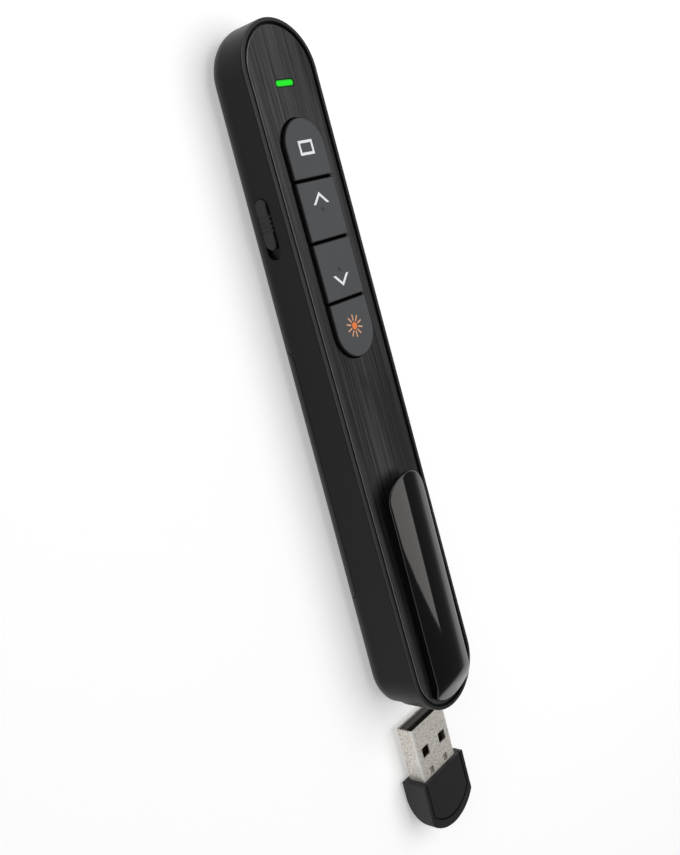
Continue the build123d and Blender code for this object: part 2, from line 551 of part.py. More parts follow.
# ---- laser -------------------------------------------------------------------------------
with BuildPart() as laser_barrel:
    with BuildSketch(section(BARREL_FRONT, LASER_Z)):
        Circle(BARREL_RADIUS)
        Circle(1.1, mode=Mode.SUBTRACT)
    extrude(amount=BARREL_FRONT - BARREL_BACK)
    with BuildSketch(section(BARREL_FRONT, LASER_Z)):
        Circle(1.8)
    extrude(amount=1.4, mode=Mode.SUBTRACT)
    with BuildSketch(section(BARREL_BACK + 3.0, LASER_Z)):
        Circle(1.7)
    extrude(amount=3.0, mode=Mode.SUBTRACT)
laser_barrel.part.label = "laser_barrel"

with BuildPart() as laser_lens:
    with BuildSketch(section(BARREL_FRONT - 0.4, LASER_Z)):
        Circle(1.78)
    extrude(amount=1.0)
    chamfer(laser_lens.faces().sort_by(Axis.Y)[-1].edges(), 0.3)
laser_lens.part.label = "laser_lens"

with BuildPart() as laser_diode:
    with BuildSketch(section(BARREL_BACK + 3.0, LASER_Z)):
        Circle(1.68)
    extrude(amount=2.4)
    with BuildSketch(section(BARREL_BACK + 0.6, LASER_Z)):
        with PolarLocations(0.8, 3):
            Rectangle(0.4, 0.4)
    extrude(amount=2.2)
laser_diode.part.label = "laser_diode"

with BuildPart() as laser_bezel:
    with BuildSketch(section(HALF + 1, LASER_Z)):
        Circle(BEZEL_RADIUS)
        Circle(APERTURE_RADIUS, mode=Mode.SUBTRACT)
    extrude(amount=3.6)
    with BuildSketch(section(HALF - 1.6, LASER_Z)):
        Circle(BEZEL_RADIUS)
        Circle(APERTURE_RADIUS - 0.4, mode=Mode.SUBTRACT)
    extrude(amount=1.0)
    add(OUTER, mode=Mode.INTERSECT)
laser_bezel.part.label = "laser_bezel"

with BuildPart() as laser_window:
    with BuildSketch(section(HALF - 1.0, LASER_Z)):
        Circle(APERTURE_RADIUS - 0.01)
    extrude(amount=0.6)
laser_window.part.label = "laser_window"

# ---- cell, contacts and cover ------------------------------------------------------------
with BuildPart() as battery_cell:
    with BuildSketch(section(CELL_FRONT - CELL_NUB, CELL_Z)):
        Circle(CELL_RADIUS)
    extrude(amount=CELL_LENGTH - CELL_NUB)
    chamfer(battery_cell.edges().filter_by(GeomType.CIRCLE), 0.35)
battery_cell.part.label = "battery_cell"

with BuildPart() as battery_terminal:
    with BuildSketch(section(CELL_FRONT, CELL_Z)):
        Circle(1.9)
    extrude(amount=CELL_NUB)
    chamfer(battery_terminal.faces().sort_by(Axis.Y)[-1].edges(), 0.2)
battery_terminal.part.label = "battery_terminal"

with BuildPart() as positive_contact:
    with BuildSketch(section(CELL_FRONT + CONTACT, CONTACT_LOW)):
        Rectangle(CONTACT_WIDTH, CONTACT_HIGH - CONTACT_LOW, align=(Align.CENTER, Align.MIN))
    extrude(amount=CONTACT)
    # tab over the end wall to the board
    with BuildSketch(section(BOARD_TAIL + 1.3, CONTACT_HIGH - CONTACT)):
        Rectangle(2.4, CONTACT, align=(Align.CENTER, Align.MIN))
    extrude(amount=BOARD_TAIL + 1.3 - CELL_FRONT)
positive_contact.part.label = "positive_contact"

with BuildPart() as negative_contact:
    with BuildSketch(section(SPRING_BACK, CONTACT_LOW)):
        Rectangle(CONTACT_WIDTH, CONTACT_HIGH - CONTACT_LOW, align=(Align.CENTER, Align.MIN))
    with BuildSketch(section(SPRING_BACK, STRIP_LOW)):
        Rectangle(
            STRIP_X + CONTACT, STRIP_HIGH - STRIP_LOW, align=(Align.MIN, Align.MIN)
        )
    extrude(amount=CONTACT)
    # return strip along the trough to the board
    with BuildSketch(section(BOARD_TAIL + 1.3, STRIP_LOW)):
        with Locations((STRIP_X, 0)):
            Rectangle(CONTACT, STRIP_HIGH - STRIP_LOW, align=(Align.MIN, Align.MIN))
    extrude(amount=BOARD_TAIL + 1.3 - SPRING_BACK + CONTACT)
negative_contact.part.label = "negative_contact"

with BuildPart() as battery_spring:
    spring_length = CELL_BACK - SPRING_BACK - SPRING_WIRE - 2 * FIT
    with BuildLine():
        coil = Helix(
            pitch=spring_length / SPRING_TURNS, height=spring_length, radius=SPRING_TIP,
            center=(0, CELL_BACK - SPRING_WIRE / 2 - FIT, CELL_Z), direction=(0, -1, 0),
            cone_angle=SPRING_FLARE,
        )
    with BuildSketch(Plane(origin=coil @ 0, z_dir=coil % 0)):
        RegularPolygon(SPRING_WIRE / 2, side_count=4)
    sweep()
battery_spring.part.label = "battery_spring"

with BuildPart() as battery_cover:
    add(OUTER)
    add(HOLLOW, mode=Mode.SUBTRACT)
    add(cover_cut(0), mode=Mode.INTERSECT)
    # hooks under the shell's edge, and the snap tongue at the nose end
    with BuildSketch(section(COVER_BACK + 2.0, BACK_WALL)):
        with Locations((-TAB_X, 0), (TAB_X, 0)):
            Rectangle(TAB_WIDTH, TAB_THICKNESS, align=(Align.CENTER, Align.MIN))
    extrude(amount=2.0 + TAB_REACH)
    with BuildSketch(section(COVER_FRONT, BACK_WALL / 2)):
        Rectangle(5.0, 2.4, align=(Align.CENTER, Align.MIN))
    extrude(amount=0.8)
battery_cover.part.label = "battery_cover"

# ---- pocket clip -------------------------------------------------------------------------
# The blade's arched crown runs straight from the tip to the root, then slopes down to the tail.
crown_fall = (CLIP_CROWN_FRONT - CLIP_CROWN_BACK) / (CLIP_FRONT - CLIP_ROOT)
tail_fall = (CLIP_CROWN_BACK - CLIP_EDGE) / (CLIP_BREAK - CLIP_BACK)


def blade_line(y, crown, fall):
    """Work plane across the blade, on its crown at y, facing the tail along the crown's fall."""
    return Plane(
        origin=on_face(0, y, -crown), x_dir=(1, 0, 0), z_dir=FACE.y_dir * -1 - FACE.z_dir * fall
    )


crown_line = blade_line(CLIP_FRONT + 1, CLIP_CROWN_FRONT, crown_fall)
with BuildPart() as pocket_clip:
    with BuildSketch(FACE.offset(-PLATE_TOP)):
        with Locations((0, (CLIP_FRONT + CLIP_BACK) / 2)):
            blade = Rectangle(CLIP_WIDTH, CLIP_FRONT - CLIP_BACK)
        fillet(blade.vertices().group_by(Axis.Y)[-1], CLIP_TIP_ROUND)
        SlotOverall(
            -2 * CLIP_BACK, -2 * (CLIP_BACK + END_CENTRE), rotation=90, mode=Mode.INTERSECT
        )
    extrude(amount=CLIP_CROWN_FRONT + 1)
    with BuildSketch(crown_line):
        with Locations((0, -CLIP_ARCH)):
            Circle(CLIP_ARCH)
    extrude(amount=LENGTH, both=True, mode=Mode.INTERSECT)
    with BuildSketch(blade_line(CLIP_BREAK, CLIP_CROWN_BACK, tail_fall)):
        with Locations((0, -CLIP_TAIL_ARCH)):
            Circle(CLIP_TAIL_ARCH)
    extrude(amount=LENGTH, both=True, mode=Mode.INTERSECT)
    with BuildSketch(crown_line):
        with Locations((0, -CLIP_ARCH)):
            Circle(CLIP_ARCH - CLIP_WALL)
    extrude(amount=CLIP_FRONT + 1 - CLIP_ROOT, mode=Mode.SUBTRACT)
    # hollow root, over the foot
    with BuildSketch(FACE.offset(-PLATE_TOP)):
        with Locations((0, CLIP_SCREW_Y)):
            Rectangle(FOOT_WIDTH + 2 * FOOT_GAP, FOOT_LENGTH + 2 * FOOT_GAP)
    extrude(amount=FOOT_HEIGHT + FOOT_HEADROOM, mode=Mode.SUBTRACT)
pocket_clip.part.label = "pocket_clip"

with BuildPart() as clip_foot:
    with BuildSketch(FACE.offset(-PLATE_TOP)):
        with Locations((0, CLIP_SCREW_Y)):
            Rectangle(FOOT_WIDTH, FOOT_LENGTH)
    extrude(amount=FOOT_HEIGHT)
    with BuildSketch(FACE.offset(-DECK_BOTTOM)):
        with Locations(clip_screw_spots):
            RegularPolygon(PEG_RADIUS, SCREW_SIDES)
    extrude(amount=DECK_BOTTOM - PLATE_TOP)
    with BuildSketch(FACE.offset(-DECK_BOTTOM)):
        with Locations(clip_screw_spots):
            RegularPolygon(SCREW_RADIUS, SCREW_SIDES)
    extrude(amount=CLIP_SCREW_LENGTH + 0.2, mode=Mode.SUBTRACT)
clip_foot.part.label = "clip_foot"

# ---- screws ------------------------------------------------------------------------------
# Each group: the plane on which its heads seat, the head, the shank's length and the spots.
# The shanks are plain, without their threads.
SCREW_GROUPS = {
    "clip_screws": (
        FACE.offset(-DECK_BOTTOM), CLIP_SCREW_HEAD, CLIP_SCREW_LENGTH, clip_screw_spots
    ),
    "board_screws": (
        FACE.offset(-BOARD_BOTTOM), SCREW_HEAD, BOARD_BOTTOM - DECK_BOTTOM - 0.2,
        board_screw_spots,
    ),
    "housing_screws": (
        Plane.XY.offset(FLANGE_Z), SCREW_HEAD, CASE_SCREW_LENGTH, case_screw_spots
    ),
}
screws = {}
for name, (seat, head, reach, spots) in SCREW_GROUPS.items():
    with BuildPart() as screw_group:
        with BuildSketch(seat):
            with Locations(spots):
                RegularPolygon(head, SCREW_SIDES)
        extrude(amount=-SCREW_HEAD_HEIGHT)
        with BuildSketch(seat):
            with Locations(spots):
                RegularPolygon(SCREW_RADIUS - 0.02, SCREW_SIDES)
        extrude(amount=reach)
    screw_group.part.label = name
    screws[name] = screw_group.part

# ---- receiver ----------------------------------------------------------------------------
# It lies drawn out of its bay by DRAWN_OUT, at the height at which it docks.
drawn_form = OUTER.moved(Location((0, -DRAWN_OUT, 0)))
cap_front, neck_back = CAP_FRONT - DRAWN_OUT, NECK_BACK - DRAWN_OUT
drawn_end_centre = -END_CENTRE - DRAWN_OUT
plug_tip = cap_front + PLUG_LENGTH
plug_mid_z = PLUG_Z + PLUG_HEIGHT / 2


def panel_outline(grow):
    """The D-shaped panel on the cap's face, grown by a margin, open towards the plug."""
    straight = cap_front - drawn_end_centre
    with BuildSketch(Plane.XY.offset(CAP_HEIGHT)) as outline:
        with Locations((0, drawn_end_centre)):
            Circle(WIDTH / 2 - PANEL_BORDER + grow)
            Rectangle(PANEL_WIDTH + 2 * grow, LENGTH, mode=Mode.INTERSECT)
        with Locations((0, drawn_end_centre)):
            Rectangle(LENGTH, LENGTH, align=(Align.CENTER, Align.MIN), mode=Mode.SUBTRACT)
            Rectangle(PANEL_WIDTH + 2 * grow, straight, align=(Align.CENTER, Align.MIN))
    return outline.sketch


with BuildPart() as receiver_cap:
    with BuildSketch(section(neck_back)):
        Rectangle(CAP_WIDTH, CAP_HEIGHT, align=(Align.CENTER, Align.MIN))
    extrude(amount=CAP_LENGTH)
    with BuildSketch(section(cap_front, NECK_STEP)):
        Rectangle(CAP_WIDTH, CAP_HEIGHT - NECK_STEP, align=(Align.CENTER, Align.MIN))
    extrude(amount=NECK_LENGTH)
    add(drawn_form, mode=Mode.INTERSECT)
    add(panel_outline(PANEL_GROOVE))
    extrude(amount=-PANEL_DEPTH, mode=Mode.SUBTRACT)
    with BuildSketch(section(cap_front, plug_mid_z)):
        Rectangle(PLUG_WIDTH + 0.04, PLUG_HEIGHT + 0.04)
    extrude(amount=CAP_LENGTH - 4.4, mode=Mode.SUBTRACT)
receiver_cap.part.label = "receiver_cap"

with BuildPart() as receiver_cap_panel:
    add(panel_outline(0))
    extrude(amount=-PANEL_DEPTH)
    chamfer(receiver_cap_panel.faces().sort_by(Axis.Z)[-1].edges(), 0.1)
receiver_cap_panel.part.label = "receiver_cap_panel"

with BuildPart() as usb_shell:
    with BuildSketch(section(plug_tip, plug_mid_z)):
        RectangleRounded(PLUG_WIDTH, PLUG_HEIGHT, PLUG_ROUND)
        Rectangle(PLUG_WIDTH - 2 * PLUG_WALL, PLUG_HEIGHT - 2 * PLUG_WALL, mode=Mode.SUBTRACT)
    extrude(amount=PLUG_LENGTH + PLUG_HIDDEN)
    with BuildSketch(Plane.XY):
        with Locations([(x, plug_tip - PLUG_WINDOW_Y) for x in (-PLUG_WINDOW_X, PLUG_WINDOW_X)]):
            Rectangle(PLUG_WINDOW, PLUG_WINDOW)
        with Locations([(x, plug_tip - PLUG_HOLE_Y) for x in (-PLUG_HOLE_X, PLUG_HOLE_X)]):
            Rectangle(PLUG_HOLE, PLUG_HOLE_LENGTH)
    extrude(amount=TAIL_HEIGHT, mode=Mode.SUBTRACT)
usb_shell.part.label = "usb_shell"

with BuildPart() as usb_tongue:
    with BuildSketch(section(plug_tip - TONGUE_BACK, PLUG_Z + PLUG_WALL)):
        Rectangle(
            PLUG_WIDTH - 2 * PLUG_WALL - 0.8, TONGUE_HEIGHT, align=(Align.CENTER, Align.MIN)
        )
    extrude(amount=PLUG_LENGTH)
usb_tongue.part.label = "usb_tongue"

with BuildPart() as usb_contacts:
    for contact_x, contact_length in ((1.0, 8.6), (3.5, 9.6)):
        with BuildSketch(section(cap_front + contact_length, PLUG_Z + PLUG_WALL + TONGUE_HEIGHT)):
            with Locations((-contact_x, 0), (contact_x, 0)):
                Rectangle(1.0, 0.15, align=(Align.CENTER, Align.MIN))
        extrude(amount=contact_length)
usb_contacts.part.label = "usb_contacts"

with BuildPart() as receiver_board:
    with BuildSketch(section(cap_front - TONGUE_BACK, RECEIVER_BOARD_TOP - 0.8)):
        Rectangle(10.6, 0.8, align=(Align.CENTER, Align.MIN))
    extrude(amount=8.0)
receiver_board.part.label = "receiver_board"

with BuildPart() as receiver_chip:
    with BuildSketch(Plane.XY.offset(RECEIVER_BOARD_TOP)):
        with Locations((0, cap_front - 5.2)):
            Rectangle(4.0, 4.0)
    extrude(amount=0.8)
receiver_chip.part.label = "receiver_chip"

# ---- write the pieces --------------------------------------------------------------------
os.makedirs("parts", exist_ok=True)
PIECES = [
    rear_shell, top_frame, face_plate, indicator_lens, status_led, dome_mat, main_board,
    controller_chip, crystal, chip_components, power_switch_body, power_switch_lever,
    power_slider, volume_rocker, volume_switches, laser_barrel, laser_lens, laser_diode,
    laser_bezel, laser_window, battery_cell, battery_terminal, positive_contact,
    negative_contact, battery_spring, battery_cover, pocket_clip, clip_foot, receiver_cap,
    receiver_cap_panel, usb_shell, usb_tongue, usb_contacts, receiver_board, receiver_chip,
]
for piece in [made.part for made in PIECES] + list(keys.values()) + list(screws.values()):
    export_step(piece, f"parts/{piece.label}.step")
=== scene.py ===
import json
import logging
import math
from dataclasses import dataclass
from enum import Enum
from typing import Iterable, Sequence

import bmesh
import bpy
from mathutils import Matrix, Vector


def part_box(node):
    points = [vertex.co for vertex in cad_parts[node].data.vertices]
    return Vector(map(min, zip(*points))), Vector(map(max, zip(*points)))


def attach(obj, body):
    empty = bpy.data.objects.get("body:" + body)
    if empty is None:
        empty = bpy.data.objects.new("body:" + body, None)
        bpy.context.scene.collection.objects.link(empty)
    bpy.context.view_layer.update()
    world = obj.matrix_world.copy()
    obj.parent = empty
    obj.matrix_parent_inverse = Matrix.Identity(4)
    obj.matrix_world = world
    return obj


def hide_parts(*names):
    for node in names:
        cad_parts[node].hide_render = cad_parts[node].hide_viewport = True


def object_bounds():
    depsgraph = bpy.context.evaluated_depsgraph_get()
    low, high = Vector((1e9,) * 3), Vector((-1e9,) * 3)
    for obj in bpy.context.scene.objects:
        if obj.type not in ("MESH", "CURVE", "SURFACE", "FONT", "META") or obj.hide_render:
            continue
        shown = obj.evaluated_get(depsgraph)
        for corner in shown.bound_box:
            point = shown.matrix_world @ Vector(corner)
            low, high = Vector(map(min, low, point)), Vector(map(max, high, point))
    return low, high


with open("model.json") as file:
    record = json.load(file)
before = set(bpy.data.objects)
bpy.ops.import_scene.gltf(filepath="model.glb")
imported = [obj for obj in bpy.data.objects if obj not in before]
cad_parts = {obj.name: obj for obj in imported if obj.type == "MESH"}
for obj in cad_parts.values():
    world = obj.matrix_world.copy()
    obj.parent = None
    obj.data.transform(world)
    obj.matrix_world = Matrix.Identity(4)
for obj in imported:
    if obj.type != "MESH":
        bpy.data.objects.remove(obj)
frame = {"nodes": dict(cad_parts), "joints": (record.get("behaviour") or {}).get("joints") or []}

log = logging.getLogger("clicker")
logging.basicConfig(level=logging.INFO, format="%(name)s: %(message)s")

MM = 0.001
FACE_LEVEL = 12.75 * MM  # height of the key face's plane at the origin
MERGE = 1e-7  # points closer than this are one, in metres
SENSOR = 36.0  # camera's sensor, in millimetres
CAD_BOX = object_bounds()

Colour = tuple[float, float, float]
Point2 = tuple[float, float]
Point3 = tuple[float, float, float]
Socket = bpy.types.NodeSocket

WHITE: Colour = (1.0, 1.0, 1.0)
GAP_SHADE: Colour = (0.001, 0.001, 0.001)  # nearly black: painted shade in seams, round slots and at the foot of walls

SQUARE = ((-1, -1), (1, -1), (1, 1), (-1, 1))  # a rectangle's corners, in halves of its sides
ROW_DIGITS = 5  # digits, in metres, to which the solids of one row agree
MIX_FACTOR, MIX_FIRST, MIX_SECOND, MIX_RESULT = 0, 6, 7, 2  # sockets of a colour's Mix node

# Where a ramp leaves its first colour and reaches its second.
PATCH_STOPS: Point2 = (0.35, 0.7)  # the marks of handling
LINE_STOPS: Point2 = (0.40, 0.60)  # brushed hairlines
FLECK_STOPS: Point2 = (0.38, 0.56)  # flecks in the plating
CORE_STOPS: Point2 = (0.60, 0.95)  # the lit lens, in shares of its half width
TRACK_STOPS: Point2 = (0.45, 0.55)  # copper tracks
BAND_STOPS: Point2 = (0.4, 0.6)  # the sleeve's band

# Where a mask starts and is full, as a part of the surface's normal; the bevel mask carries a
# painted highlight, the wall mask painted shade.
BEVEL_FACING: Point2 = (0.97, 0.85)  # its part out of the key face, on bevels
WALL_FACING: Point2 = (0.55, 0.35)  # the same, on upright walls
FOLD_FACING: Point2 = (0.995, 0.95)  # its largest part along X, Y or Z, on folds


# ---- shader building blocks ---------------------------------------------------------------
class NodeSheet:
    """A node tree with short calls for adding nodes and joining their sockets."""

    def __init__(self, tree: bpy.types.NodeTree) -> None:
        """Takes the tree to build in."""
        self.tree = tree

    def add(self, kind: str, **settings: object) -> bpy.types.Node:
        """Adds a node and sets its properties.

        Args:
            kind: the node's type, such as "ShaderNodeBump".
            settings: the node's properties by name.

        Returns:
            The new node.
        """
        node = self.tree.nodes.new(kind)
        for key, value in settings.items():
            setattr(node, key, value)
        return node

    def link(self, source: Socket, target: Socket) -> None:
        """Joins an output to an input."""
        self.tree.links.new(source, target)

    def feed(self, term: object, target: Socket) -> None:
        """Gives an input an output to read, or a plain value.

        Args:
            term: the output's socket, or the value.
            target: the input.
        """
        if isinstance(term, Socket):
            self.link(term, target)
        else:
            target.default_value = term

    def fill(self, node: bpy.types.Node, **terms: object) -> None:
        """Feeds a node's inputs by name, with _ for each space.

        Args:
            node: the node.
            terms: an output's socket or a plain value for each input.
        """
        for name, term in terms.items():
            self.feed(term, node.inputs[name.replace("_", " ")])

    def math(self, operation: str, *terms: object) -> Socket:
        """Adds a Math node.

        Args:
            operation: the node's operation.
            terms: its inputs in order, as sockets or numbers.

        Returns:
            The result's socket.
        """
        node = self.add("ShaderNodeMath", operation=operation)
        for socket, term in zip(node.inputs, terms):
            self.feed(term, socket)
        return node.outputs[0]

    def vector(self, operation: str, *terms: object, output: str = "Vector") -> Socket:
        """Adds a Vector Math node.

        Args:
            operation: the node's operation.
            terms: its inputs in order, as sockets or vectors.
            output: the output that holds the result.

        Returns:
            The result's socket.
        """
        node = self.add("ShaderNodeVectorMath", operation=operation)
        for socket, term in zip(node.inputs, terms):
            self.feed(term, socket)
        return node.outputs[output]

    def place(self) -> Socket:
        """Returns the piece's own coordinates, in metres."""
        return self.add("ShaderNodeTexCoord").outputs["Object"]

    def parts(self, vector: Socket) -> bpy.types.NodeOutputs:
        """Splits a vector.

        Args:
            vector: the vector's socket.

        Returns:
            The sockets of its X, Y and Z.
        """
        node = self.add("ShaderNodeSeparateXYZ")
        self.link(vector, node.inputs["Vector"])
        return node.outputs

    def noise(self, **terms: object) -> Socket:
        """Adds a Noise Texture.

        Args:
            terms: its inputs by name.

        Returns:
            The socket of its value.
        """
        node = self.add("ShaderNodeTexNoise")
        self.fill(node, **terms)
        return node.outputs["Fac"]

    def mask(self, value: Socket, start: float, full: float, **settings: object) -> Socket:
        """Adds a mask that rises from 0 to 1 as a value goes from start to full.

        Args:
            value: the value's socket.
            start: where the mask leaves 0.
            full: where it reaches 1; it may lie below start.
            settings: the Map Range node's properties.

        Returns:
            The mask's socket.
        """
        node = self.add("ShaderNodeMapRange", **settings)
        self.fill(node, Value=value, From_Min=start, From_Max=full)
        return node.outputs["Result"]

    def remap(self, value: Socket, low: float, high: float) -> Socket:
        """Maps a value of 0 to 1 onto another range.

        Args:
            value: the value's socket.
            low: what 0 becomes.
            high: what 1 becomes.

        Returns:
            The result's socket.
        """
        node = self.add("ShaderNodeMapRange")
        self.fill(node, Value=value, To_Min=low, To_Max=high)
        return node.outputs["Result"]

    def ramp(
        self, value: Socket, stops: Sequence[float], colours: Sequence[Colour]
    ) -> Socket:
        """Adds a colour ramp.

        Args:
            value: the socket that drives it.
            stops: the stops' places, in rising order.
            colours: each stop's colour.

        Returns:
            The ramp's colour socket.
        """
        node = self.add("ShaderNodeValToRGB")
        elements = node.color_ramp.elements
        while len(elements) < len(stops):
            elements.new(1.0)
        for element, stop, colour in zip(elements, stops, colours):
            element.position = stop
            element.color = (*colour, 1.0)
        self.link(value, node.inputs["Fac"])
        return node.outputs["Color"]

    def blend(self, share: Socket, low: Socket, high: Colour) -> Socket:
        """Mixes from a colour socket to a plain colour.

        Args:
            share: the plain colour's share, 0 to 1.
            low: the colour socket.
            high: the plain colour.

        Returns:
            The mixed colour's socket.
        """
        mix = self.add("ShaderNodeMix", data_type="RGBA")
        self.link(share, mix.inputs[MIX_FACTOR])
        self.link(low, mix.inputs[MIX_FIRST])
        mix.inputs[MIX_SECOND].default_value = (*high, 1.0)
        return mix.outputs[MIX_RESULT]

    def off_spine(self, along: Socket, across: Socket, half_spine: float) -> Socket:
        """Measures the distance from the spine of a pill-shaped outline.

        Args:
            along: the offset from its middle along the spine.
            across: the offset across the spine.
            half_spine: half the spine's length.

        Returns:
            The distance's socket.
        """
        beyond = self.math("SUBTRACT", self.math("ABSOLUTE", along), half_spine)
        beyond = self.math("MAXIMUM", beyond, 0.0)
        square = self.math(
            "ADD", self.math("MULTIPLY", beyond, beyond), self.math("MULTIPLY", across, across)
        )
        return self.math("SQRT", square)

    def bump(self, height: Socket, depth: float) -> Socket:
        """Turns a height of 0 to 1 into a bumped normal.

        Args:
            height: the height's socket.
            depth: how deep it goes, in metres.

        Returns:
            The normal's socket.
        """
        node = self.add("ShaderNodeBump")
        self.fill(node, Strength=1.0, Distance=depth, Height=height)
        return node.outputs["Normal"]


def new_group(
    name: str, inputs: dict[str, float], outputs: Iterable[str]
) -> tuple[NodeSheet, bpy.types.NodeOutputs, bpy.types.NodeInputs]:
    """Starts a shader node group whose sockets are all floats.

    Args:
        name: the group's name.
        inputs: each input's name and starting value.
        outputs: each output's name.

    Returns:
        A sheet over the group's tree, the inputs' sockets inside it, and the outputs'.
    """
    tree = bpy.data.node_groups.new(name, "ShaderNodeTree")
    for key, value in inputs.items():
        socket = tree.interface.new_socket(key, in_out="INPUT", socket_type="NodeSocketFloat")
        socket.default_value = value
    for key in outputs:
        tree.interface.new_socket(key, in_out="OUTPUT", socket_type="NodeSocketFloat")
    sheet = NodeSheet(tree)
    return sheet, sheet.add("NodeGroupInput").outputs, sheet.add("NodeGroupOutput").inputs


class SharedEffects:
    """The node groups that several finishes use, each built once."""

    def __init__(self) -> None:
        """Builds every group."""
        self.grain = self._build_grain()
        self.brushing = self._build_brushing()
        self.handling = self._build_handling()
        self.height = self._build_height()
        self.slope = self._build_slope()
        self.folds = self._build_folds()

    @staticmethod
    def _build_grain() -> bpy.types.NodeTree:
        """Builds fine moulded or sprayed grain, as a height.

        Returns:
            The group's tree.
        """
        sheet, given, out = new_group("moulded_grain", {"Scale": 9000.0}, ("Height",))
        grain = sheet.noise(
            Vector=sheet.place(), Scale=given["Scale"], Detail=3.0, Roughness=0.65
        )
        sheet.link(grain, out["Height"])
        return sheet.tree

    @staticmethod
    def _build_brushing() -> bpy.types.NodeTree:
        """Builds hairlines along Y: fine lines, and coarser streaks.

        Returns:
            The group's tree.
        """
        sheet, given, out = new_group(
            "brushed_hairlines", {"Across": 4600.0, "Along": 42.0}, ("Lines", "Streaks")
        )
        place = sheet.place()
        for output, share, detail in (("Lines", 1.0, 4.0), ("Streaks", 0.26, 2.0)):
            across = sheet.math("MULTIPLY", given["Across"], share)
            along = sheet.math("MULTIPLY", given["Along"], share)
            scale = sheet.add("ShaderNodeCombineXYZ")
            sheet.fill(scale, X=across, Y=along, Z=along)
            stretched = sheet.vector("MULTIPLY", place, scale.outputs["Vector"])
            strokes = sheet.noise(Vector=stretched, Scale=1.0, Detail=detail, Roughness=0.7)
            sheet.link(strokes, out[output])
        return sheet.tree

    @staticmethod
    def _build_handling() -> bpy.types.NodeTree:
        """Builds the marks of handling: broad cloudy patches.

        Returns:
            The group's tree.
        """
        sheet, given, out = new_group("handling_marks", {"Patch Scale": 90.0}, ("Patches",))
        patches = sheet.noise(
            Vector=sheet.place(), Scale=given["Patch Scale"], Detail=3.0, Distortion=0.4
        )
        sheet.link(patches, out["Patches"])
        return sheet.tree

    @staticmethod
    def _build_folds() -> bpy.types.NodeTree:
        """Builds a mask of what faces none of the six square ways, such as a fold.

        Returns:
            The group's tree.
        """
        sheet, _, out = new_group("folded_edges", {}, ("Folds",))
        side = sheet.add("ShaderNodeNewGeometry").outputs["True Normal"]
        parts = sheet.parts(sheet.vector("ABSOLUTE", side))
        most = sheet.math("MAXIMUM", parts["X"], parts["Y"])
        most = sheet.math("MAXIMUM", most, parts["Z"])
        sheet.link(sheet.mask(most, *FOLD_FACING), out["Folds"])
        return sheet.tree

    @staticmethod
    def _build_slope() -> bpy.types.NodeTree:
        """Builds masks of what turns away from the key face: bevels, and upright walls.

        Returns:
            The group's tree.
        """
        sheet, _, out = new_group("face_bevel", {}, ("Bevel", "Wall"))
        side = sheet.add("ShaderNodeNewGeometry").outputs["True Normal"]
        facing = sheet.vector("DOT_PRODUCT", side, FacePlane.outward(), output="Value")
        for output, limits in (("Bevel", BEVEL_FACING), ("Wall", WALL_FACING)):
            sheet.link(sheet.mask(facing, *limits), out[output])
        return sheet.tree

    @staticmethod
    def _build_height() -> bpy.types.NodeTree:
        """Builds the height along the way out of the key face, from the origin.

        Returns:
            The group's tree.
        """
        sheet, _, out = new_group("key_face_height", {}, ("Height",))
        level = sheet.vector("DOT_PRODUCT", sheet.place(), FacePlane.outward(), output="Value")
        sheet.link(level, out["Height"])
        return sheet.tree


@dataclass(frozen=True)
class Paintwork:
    """A material in the making.

    Attributes:
        material: the material.
        sheet: its nodes.
        shader: its Principled shader.
        effects: the shared node groups.
    """

    material: bpy.types.Material
    sheet: NodeSheet
    shader: bpy.types.Node
    effects: SharedEffects

    @classmethod
    def start(cls, name: str, effects: SharedEffects) -> "Paintwork":
        """Starts a material that holds a Principled shader and its output.

        Args:
            name: the material's name.
            effects: the shared node groups.

        Returns:
            The paintwork.
        """
        material = bpy.data.materials.new(name)
        material.use_nodes = True
        tree = material.node_tree
        return cls(material, NodeSheet(tree), tree.nodes["Principled BSDF"], effects)

    def effect(self, tree: bpy.types.NodeTree) -> bpy.types.Node:
        """Adds a shared group to the material."""
        return self.sheet.add("ShaderNodeGroup", node_tree=tree)

    def drive(self, name: str, value: Socket) -> None:
        """Links a socket to one of the shader's inputs."""
        self.sheet.link(value, self.shader.inputs[name])

    def paint(self, share: Socket, colour: Colour) -> None:
        """Lays a plain colour over the present one.

        Args:
            share: the new colour's share, 0 to 1.
            colour: the new colour.
        """
        present = self.shader.inputs["Base Color"].links[0].from_socket
        self.drive("Base Color", self.sheet.blend(share, present, colour))


